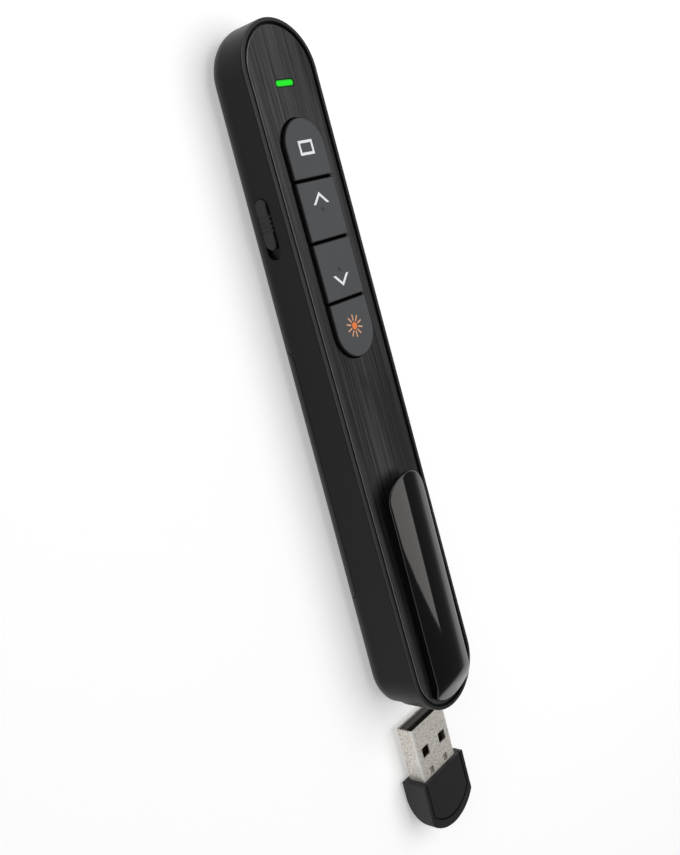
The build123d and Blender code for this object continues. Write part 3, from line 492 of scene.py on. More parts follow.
# ---- finishes -----------------------------------------------------------------------------
@dataclass(frozen=True)
class Finish:
    """A moulded plastic with fine grain and slight marks of handling.

    Attributes:
        colour: linear base colour.
        roughness: the lowest roughness, on the smoothest patches.
        roughness_spread: how much rougher the dullest patches are.
        specular: the dielectric's specular level.
        metallic: how much of it is bare metal.
        grain_scale: grains per metre.
        grain_depth: height of the grain, in metres.
        tint: how much lighter the light patches are.
        coat: weight of a clear polished coat.
        coat_roughness: the coat's roughness.
        sheen: weight of the soft light at grazing angles.
        sheen_roughness: how far that light spreads.
        specular_tint: colour of the dielectric's reflections.
    """

    colour: Colour
    roughness: float = 0.4
    roughness_spread: float = 0.1
    specular: float = 0.5
    metallic: float = 0.0
    grain_scale: float = 9000.0
    grain_depth: float = 0.000004
    tint: float = 0.25
    coat: float = 0.0
    coat_roughness: float = 0.05
    sheen: float = 0.0
    sheen_roughness: float = 0.35
    specular_tint: Colour = WHITE

    def build(self, name: str, effects: SharedEffects) -> bpy.types.Material:
        """Builds the material.

        Args:
            name: the material's name.
            effects: the shared node groups.

        Returns:
            The finished material.
        """
        work = Paintwork.start(name, effects)
        self.set_constants(work.shader)
        self.colour_it(work)
        self.roughen(work)
        return work.material

    def set_constants(self, shader: bpy.types.Node) -> None:
        """Sets what is the same all over on the shader's own sockets.

        Args:
            shader: the Principled shader.
        """
        for name, value in (
            ("Base Color", (*self.colour, 1.0)), ("Roughness", self.roughness),
            ("Metallic", self.metallic), ("Specular IOR Level", self.specular),
            ("Coat Weight", self.coat), ("Coat Roughness", self.coat_roughness),
            ("Sheen Weight", self.sheen), ("Sheen Roughness", self.sheen_roughness),
            ("Specular Tint", (*self.specular_tint, 1.0)),
        ):
            shader.inputs[name].default_value = value

    def colour_it(self, work: Paintwork) -> None:
        """Varies the colour and the roughness slightly in patches.

        Args:
            work: the material in the making.
        """
        patches = work.effect(work.effects.handling).outputs["Patches"]
        light: Colour = tuple(min(1.0, c * (1.0 + self.tint)) for c in self.colour)
        work.drive("Base Color", work.sheet.ramp(patches, PATCH_STOPS, (self.colour, light)))
        if self.roughness_spread:
            dullest = self.roughness + self.roughness_spread
            work.drive("Roughness", work.sheet.remap(patches, self.roughness, dullest))

    def roughen(self, work: Paintwork) -> None:
        """Adds the grain as a bump.

        Args:
            work: the material in the making.
        """
        grain = work.effect(work.effects.grain)
        grain.inputs["Scale"].default_value = self.grain_scale
        work.drive("Normal", work.sheet.bump(grain.outputs["Height"], self.grain_depth))


@dataclass(frozen=True)
class KeyFinish(Finish):
    """A rubber key: a grey top, with painted shade on its flanks below the top.

    Attributes:
        flank_shade_colour: colour of the painted shade on the key's flanks.
        flank_shade_depths: how far below the top the painted shade starts and is full, in metres.
    """

    flank_shade_colour: Colour = (0.002, 0.002, 0.002)
    flank_shade_depths: Point2 = (0.00003, 0.00018)

    def colour_it(self, work: Paintwork) -> None:
        """Colours the top, and paints shade on the flanks below it, by their height on the key
        face.

        Args:
            work: the material in the making.
        """
        super().colour_it(work)
        height = work.effect(work.effects.height).outputs["Height"]
        level = FacePlane.on_key("key_screen").centre.dot(FacePlane.outward())
        # painted shade: the flanks below the key's top are darkened
        below = work.sheet.mask(height, level - self.flank_shade_depths[0], level - self.flank_shade_depths[1])
        work.paint(below, self.flank_shade_colour)


@dataclass(frozen=True)
class SideSlot:
    """A pill-shaped opening in one of the casing's flanks.

    Attributes:
        side: -1 for the left flank, 1 for the right.
        along: its middle's place towards the nose, along the key face, in metres.
        level: its middle's height along the way out of the key face.
        half_spine: half its straight length.
        radius: half its width.
    """

    side: float
    along: float
    level: float
    half_spine: float
    radius: float


@dataclass(frozen=True)
class ShellFinish(Finish):
    """A soft-touch coating, with painted shade along the seam under the rim and round the side
    slots.

    Attributes:
        seam_shade_colour: colour of the painted shade at the seam and round the slots.
        seam: heights over the key face's origin where the seam's painted shade starts and is
            full, in metres.
        slots: the openings in the flanks.
        border: how far the painted shade round a slot reaches from it, full and at its end.
    """

    seam_shade_colour: Colour = GAP_SHADE
    seam: Point2 = (0.01208, 0.01214)
    slots: tuple[SideSlot, ...] = (
        SideSlot(-1.0, 0.03407, 0.007596, 0.00425, 0.00175),
        SideSlot(1.0, 0.03337, 0.007596, 0.00620, 0.00175),
    )
    border: Point2 = (0.00010, 0.00020)

    def colour_it(self, work: Paintwork) -> None:
        """Paints shade on the shell's upper edge, and round each slot.

        Args:
            work: the material in the making.
        """
        super().colour_it(work)
        height = work.effect(work.effects.height).outputs["Height"]
        # painted shade along the seam under the rim, and round each side slot
        work.paint(work.sheet.mask(height, *self.seam), self.seam_shade_colour)
        for slot in self.slots:
            work.paint(self.slot_shade_mask(work.sheet, slot, height), self.seam_shade_colour)

    def slot_shade_mask(self, sheet: NodeSheet, slot: SideSlot, height: Socket) -> Socket:
        """Masks a slot and the painted shade round it on its own flank.

        Args:
            sheet: the material's nodes.
            slot: the opening.
            height: the height over the key face's origin.

        Returns:
            The mask's socket.
        """
        place = sheet.place()
        nosewards = FacePlane.forward(FacePlane.outward())
        forward = sheet.vector("DOT_PRODUCT", place, nosewards, output="Value")
        distance = sheet.off_spine(
            sheet.math("SUBTRACT", forward, slot.along),
            sheet.math("SUBTRACT", height, slot.level), slot.half_spine,
        )
        full, end = self.border
        near = sheet.mask(distance, slot.radius + end, slot.radius + full)
        outward = sheet.math("MULTIPLY", sheet.parts(place)["X"], slot.side)
        return sheet.math("MULTIPLY", near, sheet.math("GREATER_THAN", outward, 0.0))


@dataclass(frozen=True)
class SideFinish(Finish):
    """A control on the casing's side, with painted shade on its walls where they leave the flank.

    Attributes:
        foot_shade_colour: colour of the painted shade at the walls' foot.
        foot_shade_span: distances from the middle plane where the painted shade is full and ends,
            in metres.
    """

    foot_shade_colour: Colour = GAP_SHADE
    foot_shade_span: Point2 = (0.01005, 0.01018)

    def colour_it(self, work: Paintwork) -> None:
        """Paints shade on the walls below the flank's level.

        Args:
            work: the material in the making.
        """
        super().colour_it(work)
        sheet = work.sheet
        sideways = sheet.math("ABSOLUTE", sheet.parts(sheet.place())["X"])
        full, end = self.foot_shade_span
        # painted shade at the foot of the control's walls
        work.paint(sheet.mask(sideways, end, full), self.foot_shade_colour)


@dataclass(frozen=True)
class RimFinish(Finish):
    """A moulding with a painted highlight on its bevelled edge and painted shade on its walls.

    Attributes:
        bevel_highlight_colour: colour of the painted highlight on the bevel.
        groove_shade_colour: colour of the painted shade on the walls.
    """

    bevel_highlight_colour: Colour = (0.055, 0.055, 0.057)
    groove_shade_colour: Colour = GAP_SHADE

    def colour_it(self, work: Paintwork) -> None:
        """Paints a highlight on the bevel and shade on the walls below it.

        Args:
            work: the material in the making.
        """
        super().colour_it(work)
        edge = work.effect(work.effects.slope)
        # painted highlight on the bevel, painted shade on the walls
        work.paint(edge.outputs["Bevel"], self.bevel_highlight_colour)
        work.paint(edge.outputs["Wall"], self.groove_shade_colour)


@dataclass(frozen=True)
class BrushedFinish(Finish):
    """Anodised metal with hairlines brushed lengthwise.

    Attributes:
        line_colour: colour of the bright hairlines.
        bevel_highlight_colour: colour of the painted highlight on the bevelled edge.
        wall_shade_colour: colour of the painted shade on the walls below it.
        anisotropy: how far the brushing stretches the highlight.
        shares: how much the fine lines and the streaks count.
    """

    line_colour: Colour = (0.09, 0.09, 0.095)
    bevel_highlight_colour: Colour = (0.30, 0.30, 0.30)
    wall_shade_colour: Colour = GAP_SHADE
    anisotropy: float = 0.6
    shares: Point2 = (0.68, 0.32)

    def set_constants(self, shader: bpy.types.Node) -> None:
        """Adds the brushing's stretched highlight."""
        super().set_constants(shader)
        shader.inputs["Anisotropic"].default_value = self.anisotropy

    def colour_it(self, work: Paintwork) -> None:
        """Colours the hairlines, lighter and darker, with a painted highlight on the edge and
        painted shade on the walls.

        Args:
            work: the material in the making.
        """
        sheet, brushing = work.sheet, work.effect(work.effects.brushing).outputs
        both = sheet.math(
            "ADD", sheet.math("MULTIPLY", brushing["Lines"], self.shares[0]),
            sheet.math("MULTIPLY", brushing["Streaks"], self.shares[1]),
        )
        hairlines = sheet.ramp(both, LINE_STOPS, (self.colour, self.line_colour))
        work.drive("Base Color", hairlines)
        edge = work.effect(work.effects.slope)
        # painted highlight on the bevelled edge, painted shade on the walls
        work.paint(edge.outputs["Bevel"], self.bevel_highlight_colour)
        work.paint(edge.outputs["Wall"], self.wall_shade_colour)
        dullest = self.roughness + self.roughness_spread
        work.drive("Roughness", sheet.remap(both, dullest, self.roughness))

    def roughen(self, work: Paintwork) -> None:
        """Adds the hairlines as a bump."""
        lines = work.effect(work.effects.brushing).outputs["Lines"]
        work.drive("Normal", work.sheet.bump(lines, self.grain_depth))


@dataclass(frozen=True)
class SpeckledFinish(Finish):
    """Plated sheet metal with a fine speckle and a few darker flecks.

    Attributes:
        fleck_colour: colour of the flecks.
        fold_highlight_colour: colour of the painted highlight on the folded edges.
        speckle: size of the speckle against the grain, as a share of its scale.
    """

    fleck_colour: Colour = (0.25, 0.22, 0.19)
    fold_highlight_colour: Colour = (0.93, 0.91, 0.88)
    speckle: float = 0.36

    def colour_it(self, work: Paintwork) -> None:
        """Speckles the plating and paints a highlight on its folds.

        Args:
            work: the material in the making.
        """
        grain = work.effect(work.effects.grain)
        grain.inputs["Scale"].default_value = self.grain_scale * self.speckle
        height = grain.outputs["Height"]
        speckles = work.sheet.ramp(height, FLECK_STOPS, (self.fleck_colour, self.colour))
        work.drive("Base Color", speckles)
        # painted highlight on the folded edges
        work.paint(work.effect(work.effects.folds).outputs["Folds"], self.fold_highlight_colour)
        dullest = self.roughness + self.roughness_spread
        work.drive("Roughness", work.sheet.remap(height, dullest, self.roughness))


@dataclass(frozen=True)
class LitFinish(Finish):
    """A translucent lens lit from below: a bright core in a darker border.

    Attributes:
        glow: colour of the light.
        power: emission strength at the core.
        border: share of the light that the border keeps.
        centre_y: Y of the lens's middle, in metres.
        half_spine: half the straight length of the pill, in metres.
        half_width: half its width, in metres.
    """

    glow: Colour = (0.004, 0.92, 0.012)
    power: float = 0.85
    border: float = 0.03
    centre_y: float = 0.0598
    half_spine: float = 0.0018
    half_width: float = 0.00065

    def colour_it(self, work: Paintwork) -> None:
        """Lights the core and lets the border go dark.

        Args:
            work: the material in the making.
        """
        sheet = work.sheet
        parts = sheet.parts(sheet.place())
        across = sheet.math("SUBTRACT", parts["Y"], self.centre_y)
        distance = sheet.off_spine(parts["X"], across, self.half_spine)
        share = sheet.math("DIVIDE", distance, self.half_width)
        dark: Colour = tuple(c * self.border for c in self.glow)
        work.drive("Emission Color", sheet.ramp(share, CORE_STOPS, (self.glow, dark)))
        work.shader.inputs["Emission Strength"].default_value = self.power


@dataclass(frozen=True)
class GlassFinish(Finish):
    """Clear or tinted glass.

    Attributes:
        transmission: how much light goes through.
    """

    transmission: float = 1.0

    def set_constants(self, shader: bpy.types.Node) -> None:
        """Lets light through."""
        super().set_constants(shader)
        shader.inputs["Transmission Weight"].default_value = self.transmission

    def roughen(self, work: Paintwork) -> None:
        """Leaves the glass smooth."""


@dataclass(frozen=True)
class BoardFinish(Finish):
    """Solder mask over copper tracks.

    Attributes:
        track_colour: colour of the mask where copper lies under it.
        track_scale: fields of tracks per metre.
        track_density: how closely the tracks lie in a field.
    """

    track_colour: Colour = (0.03, 0.20, 0.09)
    track_scale: float = 420.0
    track_density: float = 22.0

    def colour_it(self, work: Paintwork) -> None:
        """Draws the tracks as fields of straight and stepped runs.

        Args:
            work: the material in the making.
        """
        sheet = work.sheet
        cells = sheet.add("ShaderNodeTexVoronoi", distance="MANHATTAN", feature="F1")
        sheet.fill(cells, Scale=self.track_scale, Vector=sheet.place())
        runs = sheet.math("MULTIPLY", cells.outputs["Distance"], self.track_density)
        colours = (self.colour, self.track_colour)
        work.drive("Base Color", sheet.ramp(sheet.math("SINE", runs), TRACK_STOPS, colours))


@dataclass(frozen=True)
class SleeveFinish(Finish):
    """The cell's printed sleeve: a plain body with a band at its positive end.

    Attributes:
        band_colour: colour of the band.
        band_from: Y at which the band starts, in metres.
    """

    band_colour: Colour = (0.45, 0.46, 0.48)
    band_from: float = -0.006

    def colour_it(self, work: Paintwork) -> None:
        """Paints the band across the sleeve.

        Args:
            work: the material in the making.
        """
        sheet = work.sheet
        over = sheet.math("GREATER_THAN", sheet.parts(sheet.place())["Y"], self.band_from)
        colours = (self.colour, self.band_colour)
        work.drive("Base Color", sheet.ramp(over, BAND_STOPS, colours))


class Slot(Enum):
    """The record's material slots, then the inks and the tabs' darker copy of the plug's nickel,
    as painted shade, which it doesn't list.
    """

    SOFT_TOUCH = "soft_touch_black"
    RIM = "rim_charcoal"
    PLATE = "brushed_plate"
    KEY = "key_grey"
    CONTROL = "control_black"
    PIANO = "piano_black"
    INDICATOR = "indicator_green"
    RECEIVER = "receiver_black"
    PLUG = "plug_nickel"
    TONGUE = "plug_tongue"
    GOLD = "contact_gold"
    BOARD = "board_green"
    CHIP = "chip_black"
    DOME = "dome_rubber"
    STEEL = "steel"
    BARREL = "laser_brass"
    LENS = "laser_glass"
    TRIM = "laser_trim"
    PANE = "laser_pane"
    SLEEVE = "cell_sleeve"
    WHITE_INK = "white_ink"
    ORANGE_INK = "orange_ink"
    PEACH_INK = "peach_ink"
    DOT_INK = "dot_ink"
    SHADED_TAB = "plug_tab"


FINISHES: dict[Slot, Finish] = {
    Slot.SOFT_TOUCH: ShellFinish((0.0030, 0.0030, 0.0034), 0.34, 0.08, specular=0.16,
                                 grain_scale=7000.0, grain_depth=0.000010, tint=0.2,
                                 sheen=0.12),
    Slot.RIM: RimFinish((0.0120, 0.0120, 0.0126), 0.34, 0.08, specular=0.32,
                        grain_depth=0.000003),
    Slot.PLATE: BrushedFinish((0.009, 0.009, 0.010), 0.30, 0.14, specular=0.4, metallic=0.55,
                              grain_depth=0.000008, line_colour=(0.054, 0.054, 0.057)),
    Slot.KEY: KeyFinish((0.060, 0.063, 0.067), 0.46, 0.08, specular=0.3, grain_scale=11000.0,
                        grain_depth=0.000005, tint=0.10),
    Slot.CONTROL: SideFinish((0.0045, 0.0045, 0.0050), 0.26, 0.06, specular=0.34),
    Slot.PIANO: Finish((0.0035, 0.0035, 0.004), 0.045, 0.02, grain_scale=300.0,
                       grain_depth=0.0000012, tint=0.0, specular_tint=(1.0, 0.95, 0.90)),
    Slot.INDICATOR: LitFinish((0.002, 0.05, 0.004), 0.3, 0.0, specular=0.2,
                              grain_depth=0.000001),
    Slot.RECEIVER: Finish((0.0078, 0.0081, 0.0091), 0.36, 0.08, specular=0.30,
                          grain_depth=0.000005),
    Slot.PLUG: SpeckledFinish((0.82, 0.79, 0.74), 0.32, 0.22, metallic=0.6,
                              grain_depth=0.000006, fleck_colour=(0.47, 0.43, 0.37)),
    # the plug's nickel made darker: painted shade on the tabs down in the holes, with a painted
    # highlight on their folds
    Slot.SHADED_TAB: SpeckledFinish((0.30, 0.275, 0.25), 0.42, 0.18, metallic=0.5,
                             grain_depth=0.000006, fleck_colour=(0.20, 0.18, 0.155),
                             fold_highlight_colour=(0.42, 0.40, 0.37)),
    Slot.TONGUE: Finish((0.03, 0.026, 0.023), 0.45),
    Slot.GOLD: Finish((0.80, 0.56, 0.24), 0.22, 0.08, metallic=1.0, grain_depth=0.000001),
    Slot.BOARD: BoardFinish((0.012, 0.09, 0.04), 0.32, grain_depth=0.000002),
    Slot.CHIP: Finish((0.02, 0.02, 0.022), 0.5, grain_scale=14000.0),
    Slot.DOME: Finish((0.0035, 0.0035, 0.0038), 0.7, specular=0.04),
    Slot.STEEL: Finish((0.56, 0.55, 0.54), 0.22, 0.12, metallic=1.0, grain_depth=0.000002),
    Slot.BARREL: Finish((0.66, 0.47, 0.20), 0.25, metallic=1.0, grain_depth=0.000002),
    Slot.LENS: GlassFinish((0.90, 0.93, 0.95), 0.03, 0.0),
    Slot.TRIM: Finish((0.012, 0.012, 0.013), 0.2, 0.05, coat=0.3),
    Slot.PANE: GlassFinish((0.30, 0.02, 0.02), 0.05, 0.0, transmission=0.6),
    Slot.SLEEVE: SleeveFinish((0.10, 0.13, 0.16), 0.28, 0.06, metallic=0.35,
                              grain_depth=0.000001),
    Slot.WHITE_INK: Finish((0.86, 0.87, 0.88), 0.5, 0.05, specular=0.3, tint=0.02),
    Slot.ORANGE_INK: Finish((0.82, 0.20, 0.04), 0.5, 0.05, specular=0.3, tint=0.05),
    Slot.PEACH_INK: Finish((0.70, 0.36, 0.20), 0.5, 0.05, specular=0.3, tint=0.05),
    Slot.DOT_INK: Finish((0.041, 0.043, 0.046), 0.5, 0.05, specular=0.2, tint=0.05),
}


# ---- geometry helpers ---------------------------------------------------------------------
def joint(name: str) -> dict:
    """Returns a joint of the frame by its name."""
    return next(j for j in frame["joints"] if j["name"] == name)


@dataclass(frozen=True)
class FacePlane:
    """A work plane parallel to the key face: x across, y towards the nose, h outwards.

    Attributes:
        centre: its origin.
        normal: the way out of the face.
    """

    centre: Vector
    normal: Vector

    @classmethod
    def on_rim(cls) -> "FacePlane":
        """Lays the plane on the rim's top, above the origin."""
        return cls(Vector((0.0, 0.0, FACE_LEVEL)), cls.outward())

    @classmethod
    def on_key(cls, node: str) -> "FacePlane":
        """Lays the plane on a key's top, about the middle of its outline.

        Args:
            node: the key's CAD node.

        Returns:
            The plane.
        """
        normal = cls.outward()
        corners = [v.co for v in frame["nodes"][node].data.vertices]
        level = max(c.dot(normal) for c in corners)
        along = cls.forward(normal)
        reach = [c.dot(along) for c in corners]
        middle = (min(reach) + max(reach)) / 2
        return cls(along * middle + normal * level, normal)

    @staticmethod
    def outward() -> Vector:
        """Returns the way the keys come up."""
        return -Vector(joint("laser_press")["axis"]).normalized()

    @staticmethod
    def forward(normal: Vector) -> Vector:
        """Returns the direction towards the nose, along the face."""
        return normal.cross(Vector((1.0, 0.0, 0.0)))

    def at(self, x: float, y: float, height: float = 0.0) -> Vector:
        """Finds the point at x, y and a height.

        Args:
            x: the distance to the right, in metres.
            y: the distance towards the nose.
            height: the distance outwards.

        Returns:
            The point.
        """
        return (
            self.centre + Vector((x, 0.0, 0.0)) + self.forward(self.normal) * y
            + self.normal * height
        )


def circle(radius: float, steps: int, middle: float = 0.0) -> list[Point2]:
    """Lists a circle's corners.

    Args:
        radius: its radius.
        steps: its number of corners.
        middle: the second coordinate of its middle; the first is 0.

    Returns:
        The corners, anticlockwise.
    """
    turns = [2 * math.pi * i / steps for i in range(steps)]
    return [(radius * math.cos(turn), middle + radius * math.sin(turn)) for turn in turns]


def mesh_object(
    name: str, mesh: bpy.types.Mesh, material: bpy.types.Material
) -> bpy.types.Object:
    """Links a mesh to the scene as an object at the origin, with one material.

    Args:
        name: the object's name.
        mesh: its mesh.
        material: its material.

    Returns:
        The object.
    """
    mesh.materials.clear()
    mesh.materials.append(material)
    piece = bpy.data.objects.new(name, mesh)
    bpy.context.scene.collection.objects.link(piece)
    return piece


def finished(name: str, form: bmesh.types.BMesh) -> bpy.types.Mesh:
    """Turns a form into a mesh and frees it.

    Args:
        name: the mesh's name.
        form: the form.

    Returns:
        The mesh.
    """
    mesh = bpy.data.meshes.new(name)
    form.to_mesh(mesh)
    form.free()
    return mesh


def baked(name: str, source: bpy.types.Object) -> bpy.types.Mesh:
    """Turns an evaluated object into a plain mesh and removes the object.

    Args:
        name: the new mesh's name.
        source: the object with its modifiers on it.

    Returns:
        The mesh, with the object's place in its vertices.
    """
    bpy.context.view_layer.update()
    graph = bpy.context.evaluated_depsgraph_get()
    mesh = bpy.data.meshes.new_from_object(source.evaluated_get(graph))
    mesh.name = name
    mesh.transform(source.matrix_world)
    bpy.data.objects.remove(source)
    return mesh


def prism(
    name: str, outline: Sequence[Vector], rise: Vector, holes: Sequence[Sequence[Vector]] = ()
) -> bpy.types.Mesh:
    """Extrudes a flat outline with holes into a closed prism.

    Args:
        name: the mesh's name.
        outline: the corners in order.
        rise: the extrusion.
        holes: the corners of each hole.

    Returns:
        The closed mesh.
    """
    form = bmesh.new()
    edges = []
    for loop in (outline, *holes):
        corners = [form.verts.new(p) for p in loop]
        edges += [form.edges.new(pair) for pair in zip(corners, corners[1:] + corners[:1])]
    bmesh.ops.triangle_fill(form, use_beauty=True, use_dissolve=False, edges=edges)
    moved = bmesh.ops.extrude_face_region(form, geom=form.faces[:], use_keep_orig=True)
    lifted = [g for g in moved["geom"] if isinstance(g, bmesh.types.BMVert)]
    bmesh.ops.translate(form, verts=lifted, vec=rise)
    bmesh.ops.recalc_face_normals(form, faces=form.faces[:])
    return finished(name, form)


def loose_centres(node: str) -> list[Vector]:
    """Finds the middle of each separate solid of a node.

    Args:
        node: the CAD node.

    Returns:
        The middles, from the tail to the nose and from left to right.
    """
    form = bmesh.new()
    form.from_mesh(frame["nodes"][node].data)
    bmesh.ops.remove_doubles(form, verts=form.verts[:], dist=MERGE)
    left = set(form.verts)
    centres = []
    while left:
        grown, edge = set(), [left.pop()]
        while edge:
            vert = edge.pop()
            grown.add(vert)
            for other in (e.other_vert(vert) for e in vert.link_edges):
                if other in left:
                    left.discard(other)
                    edge.append(other)
        low = Vector([min(v.co[i] for v in grown) for i in range(3)])
        high = Vector([max(v.co[i] for v in grown) for i in range(3)])
        centres.append((low + high) / 2)
    form.free()
    return sorted(centres, key=lambda c: (round(c.y, ROW_DIGITS), c.x))


class GeometryTree:
    """A Geometry Nodes tree with named inputs, put on an object and baked to a mesh."""

    def __init__(self, name: str, inputs: dict[str, tuple[str, object]]) -> None:
        """Starts the tree.

        Args:
            name: the tree's name.
            inputs: each input's name, socket type and value.
        """
        self.tree = bpy.data.node_groups.new(name, "GeometryNodeTree")
        self.tree.interface.new_socket(
            "Geometry", in_out="INPUT", socket_type="NodeSocketGeometry"
        )
        self.values: dict[str, object] = {}
        for key, (kind, value) in inputs.items():
            socket = self.tree.interface.new_socket(key, in_out="INPUT", socket_type=kind)
            self.values[socket.identifier] = value
        self.tree.interface.new_socket(
            "Geometry", in_out="OUTPUT", socket_type="NodeSocketGeometry"
        )
        self.sheet = NodeSheet(self.tree)
        self.given = self.sheet.add("NodeGroupInput").outputs
        self.out = self.sheet.add("NodeGroupOutput").inputs

    def close(self, geometry: Socket) -> None:
        """Ends the tree in Realize Instances and Set Material.

        Args:
            geometry: the socket of what the tree makes.
        """
        real = self.sheet.add("GeometryNodeRealizeInstances")
        paint = self.sheet.add("GeometryNodeSetMaterial")
        self.sheet.fill(real, Geometry=geometry)
        self.sheet.fill(
            paint, Geometry=real.outputs["Geometry"], Material=self.given["Material"]
        )
        self.sheet.link(paint.outputs["Geometry"], self.out["Geometry"])

    def bake(self, name: str, carrier: bpy.types.Mesh) -> bpy.types.Mesh:
        """Runs the tree on a carrier mesh.

        Args:
            name: the result's name.
            carrier: the mesh that the tree is given.

        Returns:
            The plain mesh.
        """
        holder = bpy.data.objects.new(name + "_carrier", carrier)
        bpy.context.scene.collection.objects.link(holder)
        modifier = holder.modifiers.new("nodes", "NODES")
        modifier.node_group = self.tree
        for identifier, value in self.values.items():
            modifier[identifier] = value
        return baked(name, holder)


class Workshop:
    """Keeps the shared effects, hands out each finish, and finishes the pieces."""

    def __init__(self) -> None:
        """Starts with no material built."""
        self.effects = SharedEffects()
        self.built: dict[Slot, bpy.types.Material] = {}

    def material(self, slot: Slot) -> bpy.types.Material:
        """Hands out a finish, built on first use.

        Args:
            slot: the finish's slot.

        Returns:
            The material.
        """
        if slot not in self.built:
            self.built[slot] = FINISHES[slot].build(slot.value, self.effects)
        return self.built[slot]

    def dress(self, slot: Slot, *nodes: str) -> None:
        """Gives CAD nodes a finish.

        Args:
            slot: the finish they get.
            nodes: the nodes' names.
        """
        for name in nodes:
            mesh = frame["nodes"][name].data
            mesh.materials.clear()
            mesh.materials.append(self.material(slot))
            log.info("dressed %s in %s", name, slot.value)

    def add(
        self, name: str, mesh: bpy.types.Mesh, body: str, slot: Slot,
        look: Slot | None = None, stands_for: str | None = None,
    ) -> None:
        """Makes a mesh a finished piece that rides on a body.

        Args:
            name: the piece's name.
            mesh: its mesh, with its place in it.
            body: the CAD body that carries it.
            slot: the record's slot whose finish it shows when no look is given.
            look: the finish it shows, where that isn't the slot's own.
            stands_for: the CAD node that it replaces, if any.
        """
        piece = mesh_object(name, mesh, self.material(look or slot))
        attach(piece, body)
        if stands_for:
            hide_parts(stands_for)
        log.info("made %s on %s, %d faces", name, body, len(mesh.polygons))


# ---- sub-assemblies -----------------------------------------------------------------------
@dataclass
class Casing:
    """The two shells, the face plate and what is fixed in them.

    Attributes:
        shop: where finishes come from.
        spine: half the straight length of the round-ended casing.
        shade_ring: inner and outer distance from the spine of the dark ring round the plate,
            painted shade in the groove.
        shade_ring_sink: how far the ring reaches into the rim.
        shade_ring_proud: how far it stands over the rim.
        arc_steps: number of sides in each of its round ends.
    """

    shop: Workshop
    spine: float = 62.0 * MM
    shade_ring: Point2 = (8.93 * MM, 9.27 * MM)
    shade_ring_sink: float = 0.10 * MM
    shade_ring_proud: float = 0.012 * MM
    arc_steps: int = 48

    def build(self) -> None:
        """Dresses the shells, the plate and the laser's parts."""
        self.shop.dress(Slot.SOFT_TOUCH, "rear_shell", "battery_cover")
        self.shop.dress(Slot.RIM, "top_frame")
        self.shop.dress(Slot.PLATE, "face_plate")
        self.shop.dress(Slot.CONTROL, "power_slider", "volume_rocker")
        self.shop.dress(Slot.INDICATOR, "indicator_lens", "status_led")
        self.shop.dress(Slot.TRIM, "laser_bezel")
        self.shop.dress(Slot.PANE, "laser_window")
        self.shop.dress(Slot.LENS, "laser_lens")
        self.shop.dress(Slot.BARREL, "laser_barrel")
        self.lay_shade_ring()

    def lay_shade_ring(self) -> None:
        """Lays a thin dark ring between the rim and the plate: painted shade in the groove there.
        """
        plane = FacePlane.on_rim()
        inner, outer = (self.ring(plane, radius) for radius in self.shade_ring)
        rise = plane.normal * (self.shade_ring_sink + self.shade_ring_proud)
        # a dark sheet where the groove between rim and plate has only shade: painted shade
        self.shop.add("plate_gasket", prism("plate_gasket", outer, rise, [inner]), "casing",
                      Slot.DOME)

    def ring(self, plane: FacePlane, radius: float) -> list[Vector]:
        """Lists the corners of a round-ended ring about the spine, below the rim's top.

        Args:
            plane: the plane of the rim's top.
            radius: the ring's distance from the spine.

        Returns:
            The corners in order.
        """
        points = []
        for end in (1.0, -1.0):
            for i in range(self.arc_steps + 1):
                turn = math.pi * i / self.arc_steps
                x = end * radius * math.cos(turn)
                y = end * (self.spine + radius * math.sin(turn))
                points.append(plane.at(x, y, -self.shade_ring_sink))
        return points


